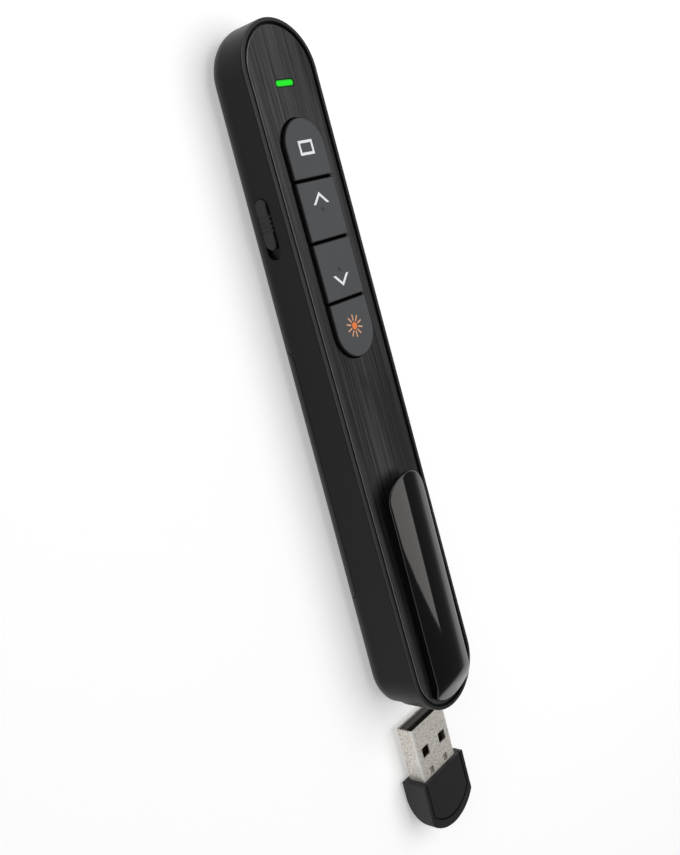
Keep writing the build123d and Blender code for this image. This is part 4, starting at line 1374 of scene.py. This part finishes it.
@dataclass
class Clip:
    """The pocket clip: an arched blade that slopes down to its tail, with rounded edges.

    Attributes:
        shop: where finishes come from.
        half_width: half the blade's width.
        front: Y of its tip, along the face.
        tip_round: radius of the tip's corners.
        tail_centre: Y of the middle of the tail's round end.
        tail_radius: radius of the tail's round end.
        tail_share: share of that radius at which the last row lies.
        arch: radius of the crown's arch.
        crown: crown's height over the face at the tip, and its fall per length.
        tail_arch: radius of the slope's arch.
        slope: Y and height at which the slope starts, and its fall per length.
        soften: how far the crown and the slope flow into each other.
        edge: radius of the rounded edge.
        wall: the blade's thickness.
        root: Y at which the solid root starts.
        seat: level of the root's underside over the face.
        pocket: half width, back and level of the hollow over the foot.
        row_counts: rows along the tip, the body, the pocket and the tail.
        column_counts: columns from the middle to the pocket's wall, and over the edge.
        edge_from: share of a quarter turn at which the edge's columns start.
        column_gap: least step from the pocket's wall to the next column, as a share.
        sharp: angle from which an edge is sharp, in degrees.
    """

    shop: Workshop
    half_width: float = 5.875 * MM
    front: float = -19.1 * MM
    tip_round: float = 5.4 * MM
    tail_centre: float = -62.0 * MM
    tail_radius: float = 7.9 * MM
    tail_share: float = 0.9985
    arch: float = 14.4 * MM
    crown: Point2 = (4.0 * MM, 0.5 / 44.9)
    tail_arch: float = 28.0 * MM
    slope: Point3 = (-65.0 * MM, 3.5 * MM, 3.0 / 4.9)
    soften: float = 1.0 * MM
    edge: float = 0.26 * MM
    wall: float = 1.2 * MM
    root: float = -64.0 * MM
    seat: float = -0.1 * MM
    pocket: Point3 = (4.6 * MM, -67.0 * MM, 1.4 * MM)
    row_counts: tuple[int, int, int, int] = (16, 24, 10, 14)
    column_counts: tuple[int, int] = (8, 9)
    edge_from: float = 0.6
    column_gap: float = 0.01
    sharp: float = 40.0

    def build(self) -> None:
        """Makes the blade, and dresses the foot under it."""
        self.shop.dress(Slot.PIANO, "clip_foot", "pocket_clip")
        self.shop.add("clip_blade", self.blade(), "clip", Slot.PIANO, stands_for="pocket_clip")

    def half_breadth(self, y: float) -> float:
        """Finds half the blade's width at y.

        Args:
            y: the place along the blade.

        Returns:
            Half the width.
        """
        forward = max(0.0, y - (self.front - self.tip_round))
        tip = self.half_width - self.tip_round + math.sqrt(
            max(0.0, self.tip_round ** 2 - forward ** 2)
        )
        back = max(0.0, self.tail_centre - y)
        tail = math.sqrt(max(0.0, self.tail_radius ** 2 - back ** 2))
        return min(self.half_width, tip, tail)

    def inside(self, x: float, y: float) -> float:
        """Finds how far a point lies inside the blade's outline.

        Args:
            x: the place across the blade.
            y: the place along it.

        Returns:
            The distance to the outline, or 0 outside.
        """
        corner = math.hypot(
            max(0.0, abs(x) - (self.half_width - self.tip_round)),
            max(0.0, y - (self.front - self.tip_round)),
        )
        reach = min(self.half_width - abs(x), self.tip_round - corner)
        if y < self.tail_centre:
            reach = min(reach, self.tail_radius - math.hypot(x, y - self.tail_centre))
        return max(0.0, reach)

    def crown_height(self, x: float, y: float, drop: float = 0.0) -> float:
        """Finds the arched crown's height.

        Args:
            x: the place across the blade.
            y: the place along it.
            drop: how far the arch is lowered and tightened.

        Returns:
            The height over the face.
        """
        radius = self.arch - drop
        level = self.crown[0] - (self.front - y) * self.crown[1] - drop
        return level - (radius - math.sqrt(radius ** 2 - x ** 2))

    def top(self, x: float, y: float) -> float:
        """Finds the upper surface's height: the crown, the slope and the rounded edge.

        Args:
            x: the place across the blade.
            y: the place along it.

        Returns:
            The height over the face.
        """
        start, level, fall = self.slope
        crown = self.crown_height(x, y)
        slope = level - (start - y) * fall - (
            self.tail_arch - math.sqrt(self.tail_arch ** 2 - x ** 2)
        )
        gap = max(0.0, self.soften - abs(crown - slope)) / self.soften
        height = min(crown, slope) - self.soften * gap * gap / 4
        inset = self.inside(x, y)
        if inset < self.edge:
            height -= self.edge - math.sqrt(self.edge ** 2 - (self.edge - inset) ** 2)
        return height

    def underside(self, x: float, y: float, past_root: bool, in_pocket: bool) -> float:
        """Finds the lower surface's height.

        Args:
            x: the place across the blade.
            y: the place along it.
            past_root: whether the point lies behind the root's front wall.
            in_pocket: whether it lies in the hollow over the foot.

        Returns:
            The height over the face.
        """
        if not past_root:
            return self.crown_height(x, y, self.wall)
        return self.pocket[2] if in_pocket else self.seat

    def rows(self) -> list[tuple[float, bool, bool]]:
        """Lists the stations along the blade, from its tip to its tail.

        Returns:
            Each station's Y, whether it lies past the root, and whether by the pocket.
        """
        tip_rows, body_rows, pocket_rows, tail_rows = self.row_counts
        low, back = self.front - self.tip_round, self.pocket[1]
        tip = [self.front - self.tip_round * (1.0 - math.cos(math.pi / 2 * i / tip_rows))
               for i in range(tip_rows + 1)]
        body = [low + (self.root - low) * i / body_rows for i in range(1, body_rows)]
        pocket = [self.root + (back - self.root) * i / pocket_rows
                  for i in range(1, pocket_rows)]
        span = self.tail_centre - self.tail_radius * self.tail_share - back
        tail = [back + span * math.sin(math.pi / 2 * i / tail_rows)
                for i in range(1, tail_rows + 1)]
        return (
            [(y, False, False) for y in (*tip, *body, self.root)]
            + [(y, True, True) for y in (self.root, *pocket, back)]
            + [(y, True, False) for y in (back, *tail)]
        )

    def columns(self) -> list[tuple[float, bool]]:
        """Lists the columns across the blade, from left to right.

        Returns:
            Each column's share of half the width, and whether it lies in the pocket.
        """
        inner_columns, edge_columns = self.column_counts
        wall = self.pocket[0] / self.half_width
        edges = [
            math.sin(math.pi / 2 * (self.edge_from + (1.0 - self.edge_from) * i / edge_columns))
            for i in range(edge_columns + 1)
        ]
        inner = [wall * i / inner_columns for i in range(inner_columns)]
        right = [(x, True) for x in (*inner, wall)] + [(wall, False)]
        right += [(share, False) for share in edges if share > wall + self.column_gap]
        return [(-x, within) for x, within in reversed(right[1:])] + right

    def blade(self) -> bpy.types.Mesh:
        """Builds the closed blade from its upper and lower surfaces.

        Returns:
            The mesh, with its place in it.
        """
        plane = FacePlane.on_rim()
        form = bmesh.new()
        upper, lower = [], []
        for y, past_root, by_pocket in self.rows():
            half = self.half_breadth(y)
            upper.append([])
            lower.append([])
            for share, within in self.columns():
                x = share * half
                hollow = self.underside(x, y, past_root, by_pocket and within)
                upper[-1].append(form.verts.new(plane.at(x, y, self.top(x, y))))
                lower[-1].append(form.verts.new(plane.at(x, y, hollow)))
        last_row, last_column = len(upper) - 1, len(upper[0]) - 1
        for i in range(last_row):
            for j in range(last_column):
                for grid in (upper, lower):
                    form.faces.new(
                        (grid[i][j], grid[i + 1][j], grid[i + 1][j + 1], grid[i][j + 1])
                    )
            for j in (0, last_column):
                form.faces.new((upper[i][j], lower[i][j], lower[i + 1][j], upper[i + 1][j]))
        for i in (0, last_row):
            for j in range(last_column):
                form.faces.new((upper[i][j], upper[i][j + 1], lower[i][j + 1], lower[i][j]))
        bmesh.ops.remove_doubles(form, verts=form.verts[:], dist=MERGE)
        bmesh.ops.dissolve_degenerate(form, edges=form.edges[:], dist=MERGE)
        bmesh.ops.recalc_face_normals(form, faces=form.faces[:])
        mesh = finished("clip_blade", form)
        mesh.shade_smooth()
        mesh.set_sharp_from_angle(angle=math.radians(self.sharp))
        return mesh


@dataclass
class Electronics:
    """The board, what is soldered to it, and the cell with its contacts.

    Attributes:
        shop: where finishes come from.
        spring_turns: turns of the cell's spring.
        spring_wire: radius of its wire.
        spring_tip: radius of its last turn.
        spring_steps: corners in a turn of the spring, and round its wire.
        cell_axis: height of the cell's axis.
    """

    shop: Workshop
    spring_turns: float = 3.0
    spring_wire: float = 0.22 * MM
    spring_tip: float = 1.5 * MM
    spring_steps: tuple[int, int] = (40, 12)
    cell_axis: float = 6.35 * MM

    def build(self) -> None:
        """Dresses the inner parts."""
        self.shop.dress(Slot.BOARD, "main_board", "receiver_board")
        self.shop.dress(Slot.CHIP, "controller_chip", "receiver_chip", "chip_components",
                        "power_switch_body", "power_switch_lever", "volume_switches")
        self.shop.dress(Slot.DOME, "dome_mat")
        self.shop.dress(Slot.STEEL, "crystal", "positive_contact", "negative_contact",
                        "battery_spring", "battery_terminal", "laser_diode")
        self.shop.dress(Slot.SLEEVE, "battery_cell")
        self.wind_spring()

    def wind_spring(self) -> None:
        """Winds the cell's conical spring with a spiral curve, from its plate to its tip."""
        low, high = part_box("battery_spring")
        tree = GeometryTree("conical_spring", {
            "Turns": ("NodeSocketFloat", self.spring_turns),
            "Foot Radius": ("NodeSocketFloat", (high.x - low.x) / 2 - self.spring_wire),
            "Tip Radius": ("NodeSocketFloat", self.spring_tip),
            "Rise": ("NodeSocketFloat", high.y - low.y - 2 * self.spring_wire),
            "Wire Radius": ("NodeSocketFloat", self.spring_wire),
            "Material": ("NodeSocketMaterial", self.shop.material(Slot.STEEL)),
        })
        sheet, given = tree.sheet, tree.given
        coil = sheet.add("GeometryNodeCurveSpiral")
        sheet.fill(
            coil, Resolution=self.spring_steps[0], Rotations=given["Turns"],
            Start_Radius=given["Foot Radius"], End_Radius=given["Tip Radius"],
            Height=given["Rise"],
        )
        wire = sheet.add("GeometryNodeCurvePrimitiveCircle")
        sheet.fill(wire, Resolution=self.spring_steps[1], Radius=given["Wire Radius"])
        sweep = sheet.add("GeometryNodeCurveToMesh")
        sheet.fill(sweep, Fill_Caps=True, Curve=coil.outputs["Curve"],
                   Profile_Curve=wire.outputs["Curve"])
        tree.close(sweep.outputs["Mesh"])
        mesh = tree.bake("spring_coil", bpy.data.meshes.new("spring_carrier"))
        foot = Vector(((low.x + high.x) / 2, low.y + self.spring_wire, self.cell_axis))
        mesh.transform(Matrix.Translation(foot) @ Matrix.Rotation(-math.pi / 2, 4, "X"))
        mesh.shade_smooth()
        self.shop.add("spring_coil", mesh, "casing", Slot.STEEL, stands_for="battery_spring")


@dataclass
class Receiver:
    """The USB receiver: its cap, panel and plug.

    Attributes:
        shop: where finishes come from.
        tab_x: how far each of the plug's bent tabs stands off its middle.
        tab_y: how far they lie behind the plug's mouth.
        tab_half: half a tab's width and length.
        tab_depth: how far a tab's high end lies under the plug's face.
        tab_drop: how far it slopes down.
        tab_sheet: its thickness.
    """

    shop: Workshop
    tab_x: float = 2.6 * MM
    tab_y: float = 11.4 * MM
    tab_half: Point2 = (0.62 * MM, 0.82 * MM)
    tab_depth: float = 0.30 * MM
    tab_drop: float = 0.12 * MM
    tab_sheet: float = 0.25 * MM

    def build(self) -> None:
        """Dresses the receiver."""
        self.shop.dress(Slot.RECEIVER, "receiver_cap", "receiver_cap_panel")
        self.shop.dress(Slot.PLUG, "usb_shell")
        self.shop.dress(Slot.TONGUE, "usb_tongue")
        self.shop.dress(Slot.GOLD, "usb_contacts")
        self.bend_tabs()

    def bend_tabs(self) -> None:
        """Sets a bent tab a little way under each of the plug's two rear holes."""
        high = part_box("usb_shell")[1]
        half_x, half_y = self.tab_half
        corners = [(x * half_x, y * half_y) for x, y in SQUARE]
        form = bmesh.new()
        for side in (-1, 1):
            middle = Vector((side * self.tab_x, high.y - self.tab_y, high.z - self.tab_depth))
            blank = prism(
                "tab",
                [middle + Vector((x, y, -self.tab_drop if y > 0 else 0.0)) for x, y in corners],
                Vector((0.0, 0.0, -self.tab_sheet)),
            )
            form.from_mesh(blank)
            bpy.data.meshes.remove(blank)
        # the tabs show the plug's nickel darkened: painted shade
        self.shop.add("plug_tabs", finished("plug_tabs", form), "receiver", Slot.PLUG, Slot.SHADED_TAB)


@dataclass
class Keypad:
    """The four keys with the pictures printed on them.

    Attributes:
        shop: where finishes come from.
        ink: thickness of a coat of ink, in metres.
        print_coats: coats in a print, of which the first is sunk into the key.
        dot_coats: coats in a dot.
        stroke: width of its lines.
        screen_size: the screen picture's width and height.
        chevron: half its width, its height, and its apex's distance from the key's middle.
        sun_centre: how far the sun stands towards the nose from the key's middle.
        sun_core: radius of the sun's disc.
        sun_rays: number of rays, and their inner and outer radius.
        sun_steps: corners of the disc.
        ray_width: width of a ray.
        dot_radius: radius of the small dot in the middle of each page key.
        dot_steps: corners of the dot.
    """

    shop: Workshop
    ink: float = 0.015 * MM
    print_coats: int = 2
    dot_coats: int = 3
    stroke: float = 0.52 * MM
    screen_size: Point2 = (4.0 * MM, 2.8 * MM)
    chevron: Point3 = (2.3 * MM, 2.3 * MM, 3.35 * MM)
    sun_centre: float = 0.42 * MM
    sun_core: float = 0.74 * MM
    sun_rays: tuple[int, float, float] = (10, 1.02 * MM, 2.28 * MM)
    sun_steps: int = 32
    ray_width: float = 0.32 * MM
    dot_radius: float = 0.42 * MM
    dot_steps: int = 20

    def build(self) -> None:
        """Dresses the keys and prints each picture."""
        self.shop.dress(Slot.KEY, "key_laser", "key_page_down", "key_page_up", "key_screen")
        self.print_screen()
        self.print_chevron("page_up", 1.0)
        self.print_chevron("page_down", -1.0)
        self.print_sun()

    def stamp(
        self, name: str, key: str, look: Slot, coats: int, *loops: Iterable[Point2]
    ) -> None:
        """Prints a flat shape on a key, its first coat sunk so that it holds on.

        Args:
            name: the piece's name.
            key: laser, page_down, page_up or screen.
            look: the ink.
            coats: how many coats of ink it has.
            loops: the shape's outline, then its holes, about the key's middle.
        """
        plane = FacePlane.on_key("key_" + key)
        outer, *holes = ([plane.at(x, y, -self.ink) for x, y in loop] for loop in loops)
        mesh = prism(name, outer, plane.normal * coats * self.ink, holes)
        self.shop.add(name, mesh, key + "_button", Slot.KEY, look)

    def print_screen(self) -> None:
        """Prints the outlined rectangle."""
        half_x, half_y = self.screen_size[0] / 2, self.screen_size[1] / 2
        loops = (
            [(x * (half_x - inset), y * (half_y - inset)) for x, y in SQUARE]
            for inset in (0.0, self.stroke)
        )
        self.stamp("screen_print", "screen", Slot.WHITE_INK, self.print_coats, *loops)

    def print_chevron(self, side: str, sense: float) -> None:
        """Prints a chevron, with the faint dot under it.

        Args:
            side: page_up or page_down, which names the key.
            sense: 1 to point at the nose, -1 to point at the tail.
        """
        half, rise, apex = self.chevron
        slant = math.hypot(half, rise)
        drop = self.stroke * slant / half
        cut = self.stroke * slant / rise
        outline = [
            (0.0, apex), (half, apex - rise), (half - cut, apex - rise),
            (0.0, apex - drop), (-half + cut, apex - rise), (-half, apex - rise),
        ]
        arrow = [(x, y * sense) for x, y in outline]
        self.stamp(side + "_print", side, Slot.WHITE_INK, self.print_coats, arrow)
        dot = circle(self.dot_radius, self.dot_steps)
        self.stamp(side + "_dot", side, Slot.DOT_INK, self.dot_coats, dot)

    def print_sun(self) -> None:
        """Prints the sun: a disc, and rays set round it by Geometry Nodes."""
        disc = circle(self.sun_core, self.sun_steps, self.sun_centre)
        self.stamp("sun_disc", "laser", Slot.ORANGE_INK, self.print_coats, disc)
        plane = FacePlane.on_key("key_laser")
        rays = self.ring_of_rays()
        turn = Matrix((
            (1.0, 0.0, 0.0), FacePlane.forward(plane.normal), plane.normal
        )).transposed().to_4x4()
        rays.transform(Matrix.Translation(plane.at(0.0, self.sun_centre)) @ turn)
        self.shop.add("sun_rays", rays, "laser_button", Slot.KEY, Slot.PEACH_INK)

    def ring_of_rays(self) -> bpy.types.Mesh:
        """Sets one ray at each point of a circle, pointing outwards.

        Returns:
            The rays' mesh, flat about the origin.
        """
        count, inner, outer = self.sun_rays
        half = self.ray_width / 2
        outline = [(-half, inner), (half, inner), (half, outer), (-half, outer)]
        ray = prism(
            "ray", [Vector((x, y, -self.ink)) for x, y in outline],
            Vector((0.0, 0.0, self.print_coats * self.ink)),
        )
        tree = GeometryTree("sun_ray_ring", {
            "Count": ("NodeSocketInt", count),
            "Material": ("NodeSocketMaterial", self.shop.material(Slot.PEACH_INK)),
        })
        sheet, given = tree.sheet, tree.given
        points = sheet.add("GeometryNodePoints")
        sheet.fill(points, Count=given["Count"])
        index = sheet.add("GeometryNodeInputIndex").outputs["Index"]
        step = sheet.math("DIVIDE", 2 * math.pi, given["Count"])
        turn = sheet.add("ShaderNodeCombineXYZ")
        sheet.fill(turn, Z=sheet.math("MULTIPLY", index, step))
        copies = sheet.add("GeometryNodeInstanceOnPoints")
        sheet.fill(copies, Points=points.outputs[0], Instance=given["Geometry"],
                   Rotation=turn.outputs["Vector"])
        tree.close(copies.outputs["Instances"])
        return tree.bake("sun_rays", ray)


@dataclass
class Fasteners:
    """The screws, with cross recesses and threads, set on the CAD screws' places.

    Attributes:
        shop: where finishes come from.
        housing_head: head radius of the housing's screws.
        board_head: head radius of the board's screws.
        clip_head: head radius of the clip's screws.
        head_height: every head's height.
        head_bevel: share of a head's radius that its face keeps, and the bevel's height.
        thread: the thread's outer radius.
        core: share of the thread's radius that its core keeps.
        pitch: rise of the thread in one turn.
        pitch_rows: rings of points in one turn.
        fewest_turns: least number of turns that a screw's thread has.
        thread_start: where the thread starts, over the head.
        plain: length of the shank that has no thread.
        tip: share of the thread's radius at the tip, and the tip's length.
        recess: half the recess's length, half its width, and its depth.
        recess_start: how far below the head's face its cutter starts.
        slack: share of a head's radius within which points count as its screw's.
        steps: corners in each ring.
    """

    shop: Workshop
    housing_head: float = 1.0 * MM
    board_head: float = 1.0 * MM
    clip_head: float = 1.6 * MM
    head_height: float = 0.7 * MM
    head_bevel: Point2 = (0.9, 0.08 * MM)
    thread: float = 0.58 * MM
    core: float = 0.80
    pitch: float = 0.35 * MM
    pitch_rows: int = 4
    fewest_turns: int = 2
    thread_start: float = 0.1 * MM
    plain: float = 0.4 * MM
    tip: Point2 = (0.3, 0.2 * MM)
    recess: Point3 = (0.62 * MM, 0.16 * MM, 0.38 * MM)
    recess_start: float = 0.2 * MM
    slack: float = 1.05
    steps: int = 20

    def build(self) -> None:
        """Makes each group of screws."""
        face_up = FacePlane.outward()
        self.group("housing_screws", Vector((0.0, 0.0, 1.0)), self.housing_head)
        self.group("board_screws", face_up, self.board_head)
        self.group("clip_screws", face_up, self.clip_head)

    def group(self, node: str, up: Vector, head: float) -> None:
        """Puts a detailed screw on each solid of a node.

        Args:
            node: the CAD node they replace.
            up: the way from the head to the tip.
            head: the head's radius.
        """
        centres = loose_centres(node)
        spans = [self.reach(node, centre, up, head) for centre in centres]
        screw = self.screw(head, max(high - low for low, high in spans))
        spots = [
            centre + up * (low - centre.dot(up)) for centre, (low, _) in zip(centres, spans)
        ]
        carrier = bpy.data.meshes.new(node + "_points")
        carrier.from_pydata([tuple(spot) for spot in spots], [], [])
        stock = bpy.data.objects.new(node + "_stock", screw)
        bpy.context.scene.collection.objects.link(stock)
        tree = GeometryTree(node + "_set", {
            "Screw": ("NodeSocketObject", stock),
            "Turn": ("NodeSocketVector", tuple(up.to_track_quat("Z", "Y").to_euler())),
            "Material": ("NodeSocketMaterial", self.shop.material(Slot.STEEL)),
        })
        sheet, given = tree.sheet, tree.given
        info = sheet.add("GeometryNodeObjectInfo")
        sheet.fill(info, Object=given["Screw"])
        copies = sheet.add("GeometryNodeInstanceOnPoints")
        sheet.fill(copies, Points=given["Geometry"], Instance=info.outputs["Geometry"],
                   Rotation=given["Turn"])
        tree.close(copies.outputs["Instances"])
        mesh = tree.bake(node + "_threaded", carrier)
        bpy.data.objects.remove(stock)
        self.shop.add(node + "_threaded", mesh, "casing", Slot.STEEL, stands_for=node)

    def reach(self, node: str, middle: Vector, up: Vector, radius: float) -> Point2:
        """Finds how far one solid of a node reaches.

        Args:
            node: the CAD node.
            middle: the solid's middle.
            up: the direction to measure along.
            radius: the solid's radius about that direction.

        Returns:
            Its lowest and highest level.
        """
        levels = []
        for vert in frame["nodes"][node].data.vertices:
            offset = vert.co - middle
            sideways = offset - up * offset.dot(up)
            if sideways.length < radius * self.slack:
                levels.append(vert.co.dot(up))
        return min(levels), max(levels)

    def screw(self, head: float, length: float) -> bpy.types.Mesh:
        """Makes one screw that stands on its head at the origin, tip up.

        Args:
            head: the head's radius.
            length: the whole length.

        Returns:
            The closed mesh.
        """
        form = bmesh.new()
        rings = [self.ring(form, radius, level) for radius, level in (
            (head * self.head_bevel[0], 0.0), (head, self.head_bevel[1]),
            (head, self.head_height), (self.thread * self.core, self.head_height),
        )]
        spare = length - self.head_height - self.plain
        turns = max(self.fewest_turns, int(spare / self.pitch))
        for row in range(turns * self.pitch_rows):
            level = self.head_height + self.thread_start + row * self.pitch / self.pitch_rows
            rings.append(self.ring(form, self.thread, level, row / self.pitch_rows))
        rings.append(self.ring(form, self.thread * self.core, length - self.tip[1]))
        rings.append(self.ring(form, self.thread * self.tip[0], length))
        for low, high in zip(rings, rings[1:]):
            for i in range(self.steps):
                j = (i + 1) % self.steps
                form.faces.new((low[i], low[j], high[j], high[i]))
        form.faces.new(list(reversed(rings[0])))
        form.faces.new(rings[-1])
        bmesh.ops.recalc_face_normals(form, faces=form.faces[:])
        return self.cut_recess(finished("screw_blank", form))

    def ring(
        self, form: bmesh.types.BMesh, radius: float, level: float, phase: float | None = None
    ) -> list[bmesh.types.BMVert]:
        """Adds a ring of points.

        Args:
            form: the form that gets them.
            radius: the ring's radius.
            level: its height.
            phase: the turn at which the thread's crest lies; without it the ring is round.

        Returns:
            The points in order.
        """
        points = []
        for i in range(self.steps):
            turn = i / self.steps
            reach = radius
            if phase is not None:
                crest = 0.5 + 0.5 * math.cos(2 * math.pi * (turn - phase))
                reach = radius * (self.core + (1.0 - self.core) * crest)
            angle = 2 * math.pi * turn
            spot = (reach * math.cos(angle), reach * math.sin(angle), level)
            points.append(form.verts.new(spot))
        return points

    def cut_recess(self, blank: bpy.types.Mesh) -> bpy.types.Mesh:
        """Cuts the cross into a screw's head.

        Args:
            blank: the screw without its recess.

        Returns:
            The cut mesh.
        """
        half, width, depth = self.recess
        outline = [
            (half, -width), (half, width), (width, width), (width, half), (-width, half),
            (-width, width), (-half, width), (-half, -width), (-width, -width),
            (-width, -half), (width, -half), (width, -width),
        ]
        cross = prism(
            "recess", [Vector((x, y, -self.recess_start)) for x, y in outline],
            Vector((0.0, 0.0, depth + self.recess_start)),
        )
        body = bpy.data.objects.new("screw_body", blank)
        cutter = bpy.data.objects.new("recess_cutter", cross)
        for item in (body, cutter):
            bpy.context.scene.collection.objects.link(item)
        cut = body.modifiers.new("recess", "BOOLEAN")
        cut.operation = "DIFFERENCE"
        cut.solver = "EXACT"
        cut.object = cutter
        mesh = baked("screw", body)
        bpy.data.objects.remove(cutter)
        return mesh


# ---- studio -------------------------------------------------------------------------------
@dataclass(frozen=True)
class Softbox:
    """A rectangular studio light.

    Attributes:
        name: the lamp's name.
        place: its middle, in metres.
        target: the point it faces.
        size: its width and height.
        radiance: how bright its face is, where 1 is white.
        roll: its turn about its own axis, in degrees.
    """

    name: str
    place: Point3
    target: Point3
    size: Point2
    radiance: float
    roll: float = 0.0

    def build(self) -> None:
        """Adds the lamp."""
        light = bpy.data.lights.new(self.name, "AREA")
        light.shape = "RECTANGLE"
        light.size, light.size_y = self.size
        light.energy = self.radiance * math.pi * self.size[0] * self.size[1]
        lamp = bpy.data.objects.new(self.name, light)
        aim = Vector(self.target) - Vector(self.place)
        turn = aim.to_track_quat("-Z", "Y").to_matrix().to_4x4()
        spin = Matrix.Rotation(math.radians(self.roll), 4, "Z")
        lamp.matrix_world = Matrix.Translation(self.place) @ turn @ spin
        bpy.context.scene.collection.objects.link(lamp)


@dataclass
class Studio:
    """The pale floor, the soft lights and the camera.

    Attributes:
        azimuth: the way the camera looks, in degrees: 0 is along +Y, 90 along -X.
        elevation: how far it looks down, in degrees.
        roll: its turn about its own axis, in degrees.
        place: where it stands, in millimetres.
        lens: its focal length, in millimetres.
        clip: its nearest and farthest sight, in metres.
        floor_radius: radius of the floor, in metres.
        floor_steps: corners of the floor.
        floor_colour: its colour.
        floor_roughness: its roughness.
        floor_lift: light of its own that makes the seen floor white.
        fade: distances from the origin where it starts to turn plain white, and is.
        horizon: the world's grey at heights from the horizon, 0, to straight up, 1.
        softboxes: the lights.
    """

    azimuth: float = -106.7
    elevation: float = 42.74
    roll: float = 86.95
    place: Point3 = (-145.75, 34.99, 143.02)
    lens: float = 41.6
    clip: Point2 = (0.005, 20.0)
    floor_radius: float = 3.0
    floor_steps: int = 96
    floor_colour: Colour = (0.78, 0.78, 0.78)
    floor_roughness: float = 0.9
    floor_lift: float = 0.37
    fade: Point2 = (0.13, 0.40)
    horizon: tuple[Point2, ...] = (
        (0.0, 1.0), (0.21, 0.98), (0.33, 0.30), (0.46, 0.14), (1.0, 0.11)
    )
    softboxes: tuple[Softbox, ...] = (
        Softbox("overhead", (0.14, 0.080, 0.5), (0.14, 0.080, 0.0), (0.6, 0.6), 2.2, -20.0),
        Softbox("nose_side", (-0.45, 0.42, 0.30), (0.0, -0.01, 0.01), (0.35, 0.25), 1.6),
    )

    def build(self) -> None:
        """Builds everything that isn't the object."""
        self.lay_floor()
        for box in self.softboxes:
            box.build()
        self.set_world()
        self.set_camera()
        bpy.context.scene.view_settings.view_transform = "Standard"

    def lay_floor(self) -> None:
        """Lays a round pale floor at the object's foot, see-through from below."""
        form = bmesh.new()
        level = CAD_BOX[0].z
        corners = circle(self.floor_radius, self.floor_steps)
        form.faces.new([form.verts.new((x, y, level)) for x, y in corners])
        mesh_object("floor", finished("floor", form), self.floor_material())

    def floor_material(self) -> bpy.types.Material:
        """Makes the floor: white to the eye, with the object's shadow, and clear from below.

        Returns:
            The material.
        """
        material = bpy.data.materials.new("floor_white")
        material.use_nodes = True
        sheet = NodeSheet(material.node_tree)
        shader = material.node_tree.nodes["Principled BSDF"]
        distance = sheet.vector("LENGTH", sheet.place(), output="Value")
        far = sheet.mask(distance, *self.fade, interpolation_type="SMOOTHSTEP")
        path = sheet.add("ShaderNodeLightPath").outputs
        seen = sheet.math("MAXIMUM", path["Is Camera Ray"], path["Is Glossy Ray"])
        seen = sheet.math("MAXIMUM", seen, path["Is Transmission Ray"])
        sheet.fill(
            shader, Base_Color=(*self.floor_colour, 1.0), Roughness=self.floor_roughness,
            Specular_IOR_Level=0.0, Emission_Color=(*WHITE, 1.0),
            Emission_Strength=sheet.math("MULTIPLY", seen, self.floor_lift),
        )
        plain = sheet.math("MULTIPLY", seen, far)
        white = sheet.add("ShaderNodeEmission").outputs["Emission"]
        surface = self.shader_mix(sheet, plain, shader.outputs["BSDF"], white)
        below = sheet.add("ShaderNodeNewGeometry").outputs["Backfacing"]
        clear = sheet.add("ShaderNodeBsdfTransparent").outputs["BSDF"]
        surface = self.shader_mix(sheet, below, surface, clear)
        sheet.link(surface, material.node_tree.nodes["Material Output"].inputs["Surface"])
        return material

    @staticmethod
    def shader_mix(sheet: NodeSheet, share: Socket, first: Socket, second: Socket) -> Socket:
        """Mixes two shaders.

        Args:
            sheet: the material's nodes.
            share: the second shader's share.
            first: the first shader.
            second: the second shader.

        Returns:
            The mixed shader's socket.
        """
        mix = sheet.add("ShaderNodeMixShader")
        for term, socket in zip((share, first, second), mix.inputs):
            sheet.link(term, socket)
        return mix.outputs["Shader"]

    def set_world(self) -> None:
        """Sets a white horizon under a darker ceiling."""
        world = bpy.data.worlds.new("studio")
        world.use_nodes = True
        bpy.context.scene.world = world
        sheet = NodeSheet(world.node_tree)
        way = sheet.add("ShaderNodeTexCoord").outputs["Generated"]
        heights, greys = zip(*self.horizon)
        colour = sheet.ramp(sheet.parts(way)["Z"], heights, [(grey,) * 3 for grey in greys])
        sheet.link(colour, world.node_tree.nodes["Background"].inputs["Color"])

    def set_camera(self) -> None:
        """Stands the camera and turns it upright along the object."""
        data = bpy.data.cameras.new("camera")
        data.sensor_fit = "VERTICAL"
        data.sensor_height = SENSOR
        data.sensor_width = SENSOR
        data.lens = self.lens
        data.clip_start, data.clip_end = self.clip
        camera = bpy.data.objects.new("camera", data)
        turn, dip, spin = map(math.radians, (self.azimuth, self.elevation, self.roll))
        look = Vector((
            -math.sin(turn) * math.cos(dip), math.cos(turn) * math.cos(dip), -math.sin(dip)
        ))
        level = look.cross(Vector((0.0, 0.0, 1.0))).normalized()
        upright = level.cross(look)
        right = level * math.cos(spin) + upright * math.sin(spin)
        up = upright * math.cos(spin) - level * math.sin(spin)
        axes = Matrix((right, up, -look)).transposed().to_4x4()
        camera.matrix_world = Matrix.Translation(Vector(self.place) * MM) @ axes
        bpy.context.scene.collection.objects.link(camera)
        bpy.context.scene.camera = camera


def main() -> None:
    """Builds the studio and the object."""
    Studio().build()
    shop = Workshop()
    for assembly in (
        Casing(shop), Clip(shop), Electronics(shop), Receiver(shop), Keypad(shop), Fasteners(shop)
    ):
        assembly.build()
        log.info("finished %s", type(assembly).__name__)


if __name__ == "__main__":
    main()
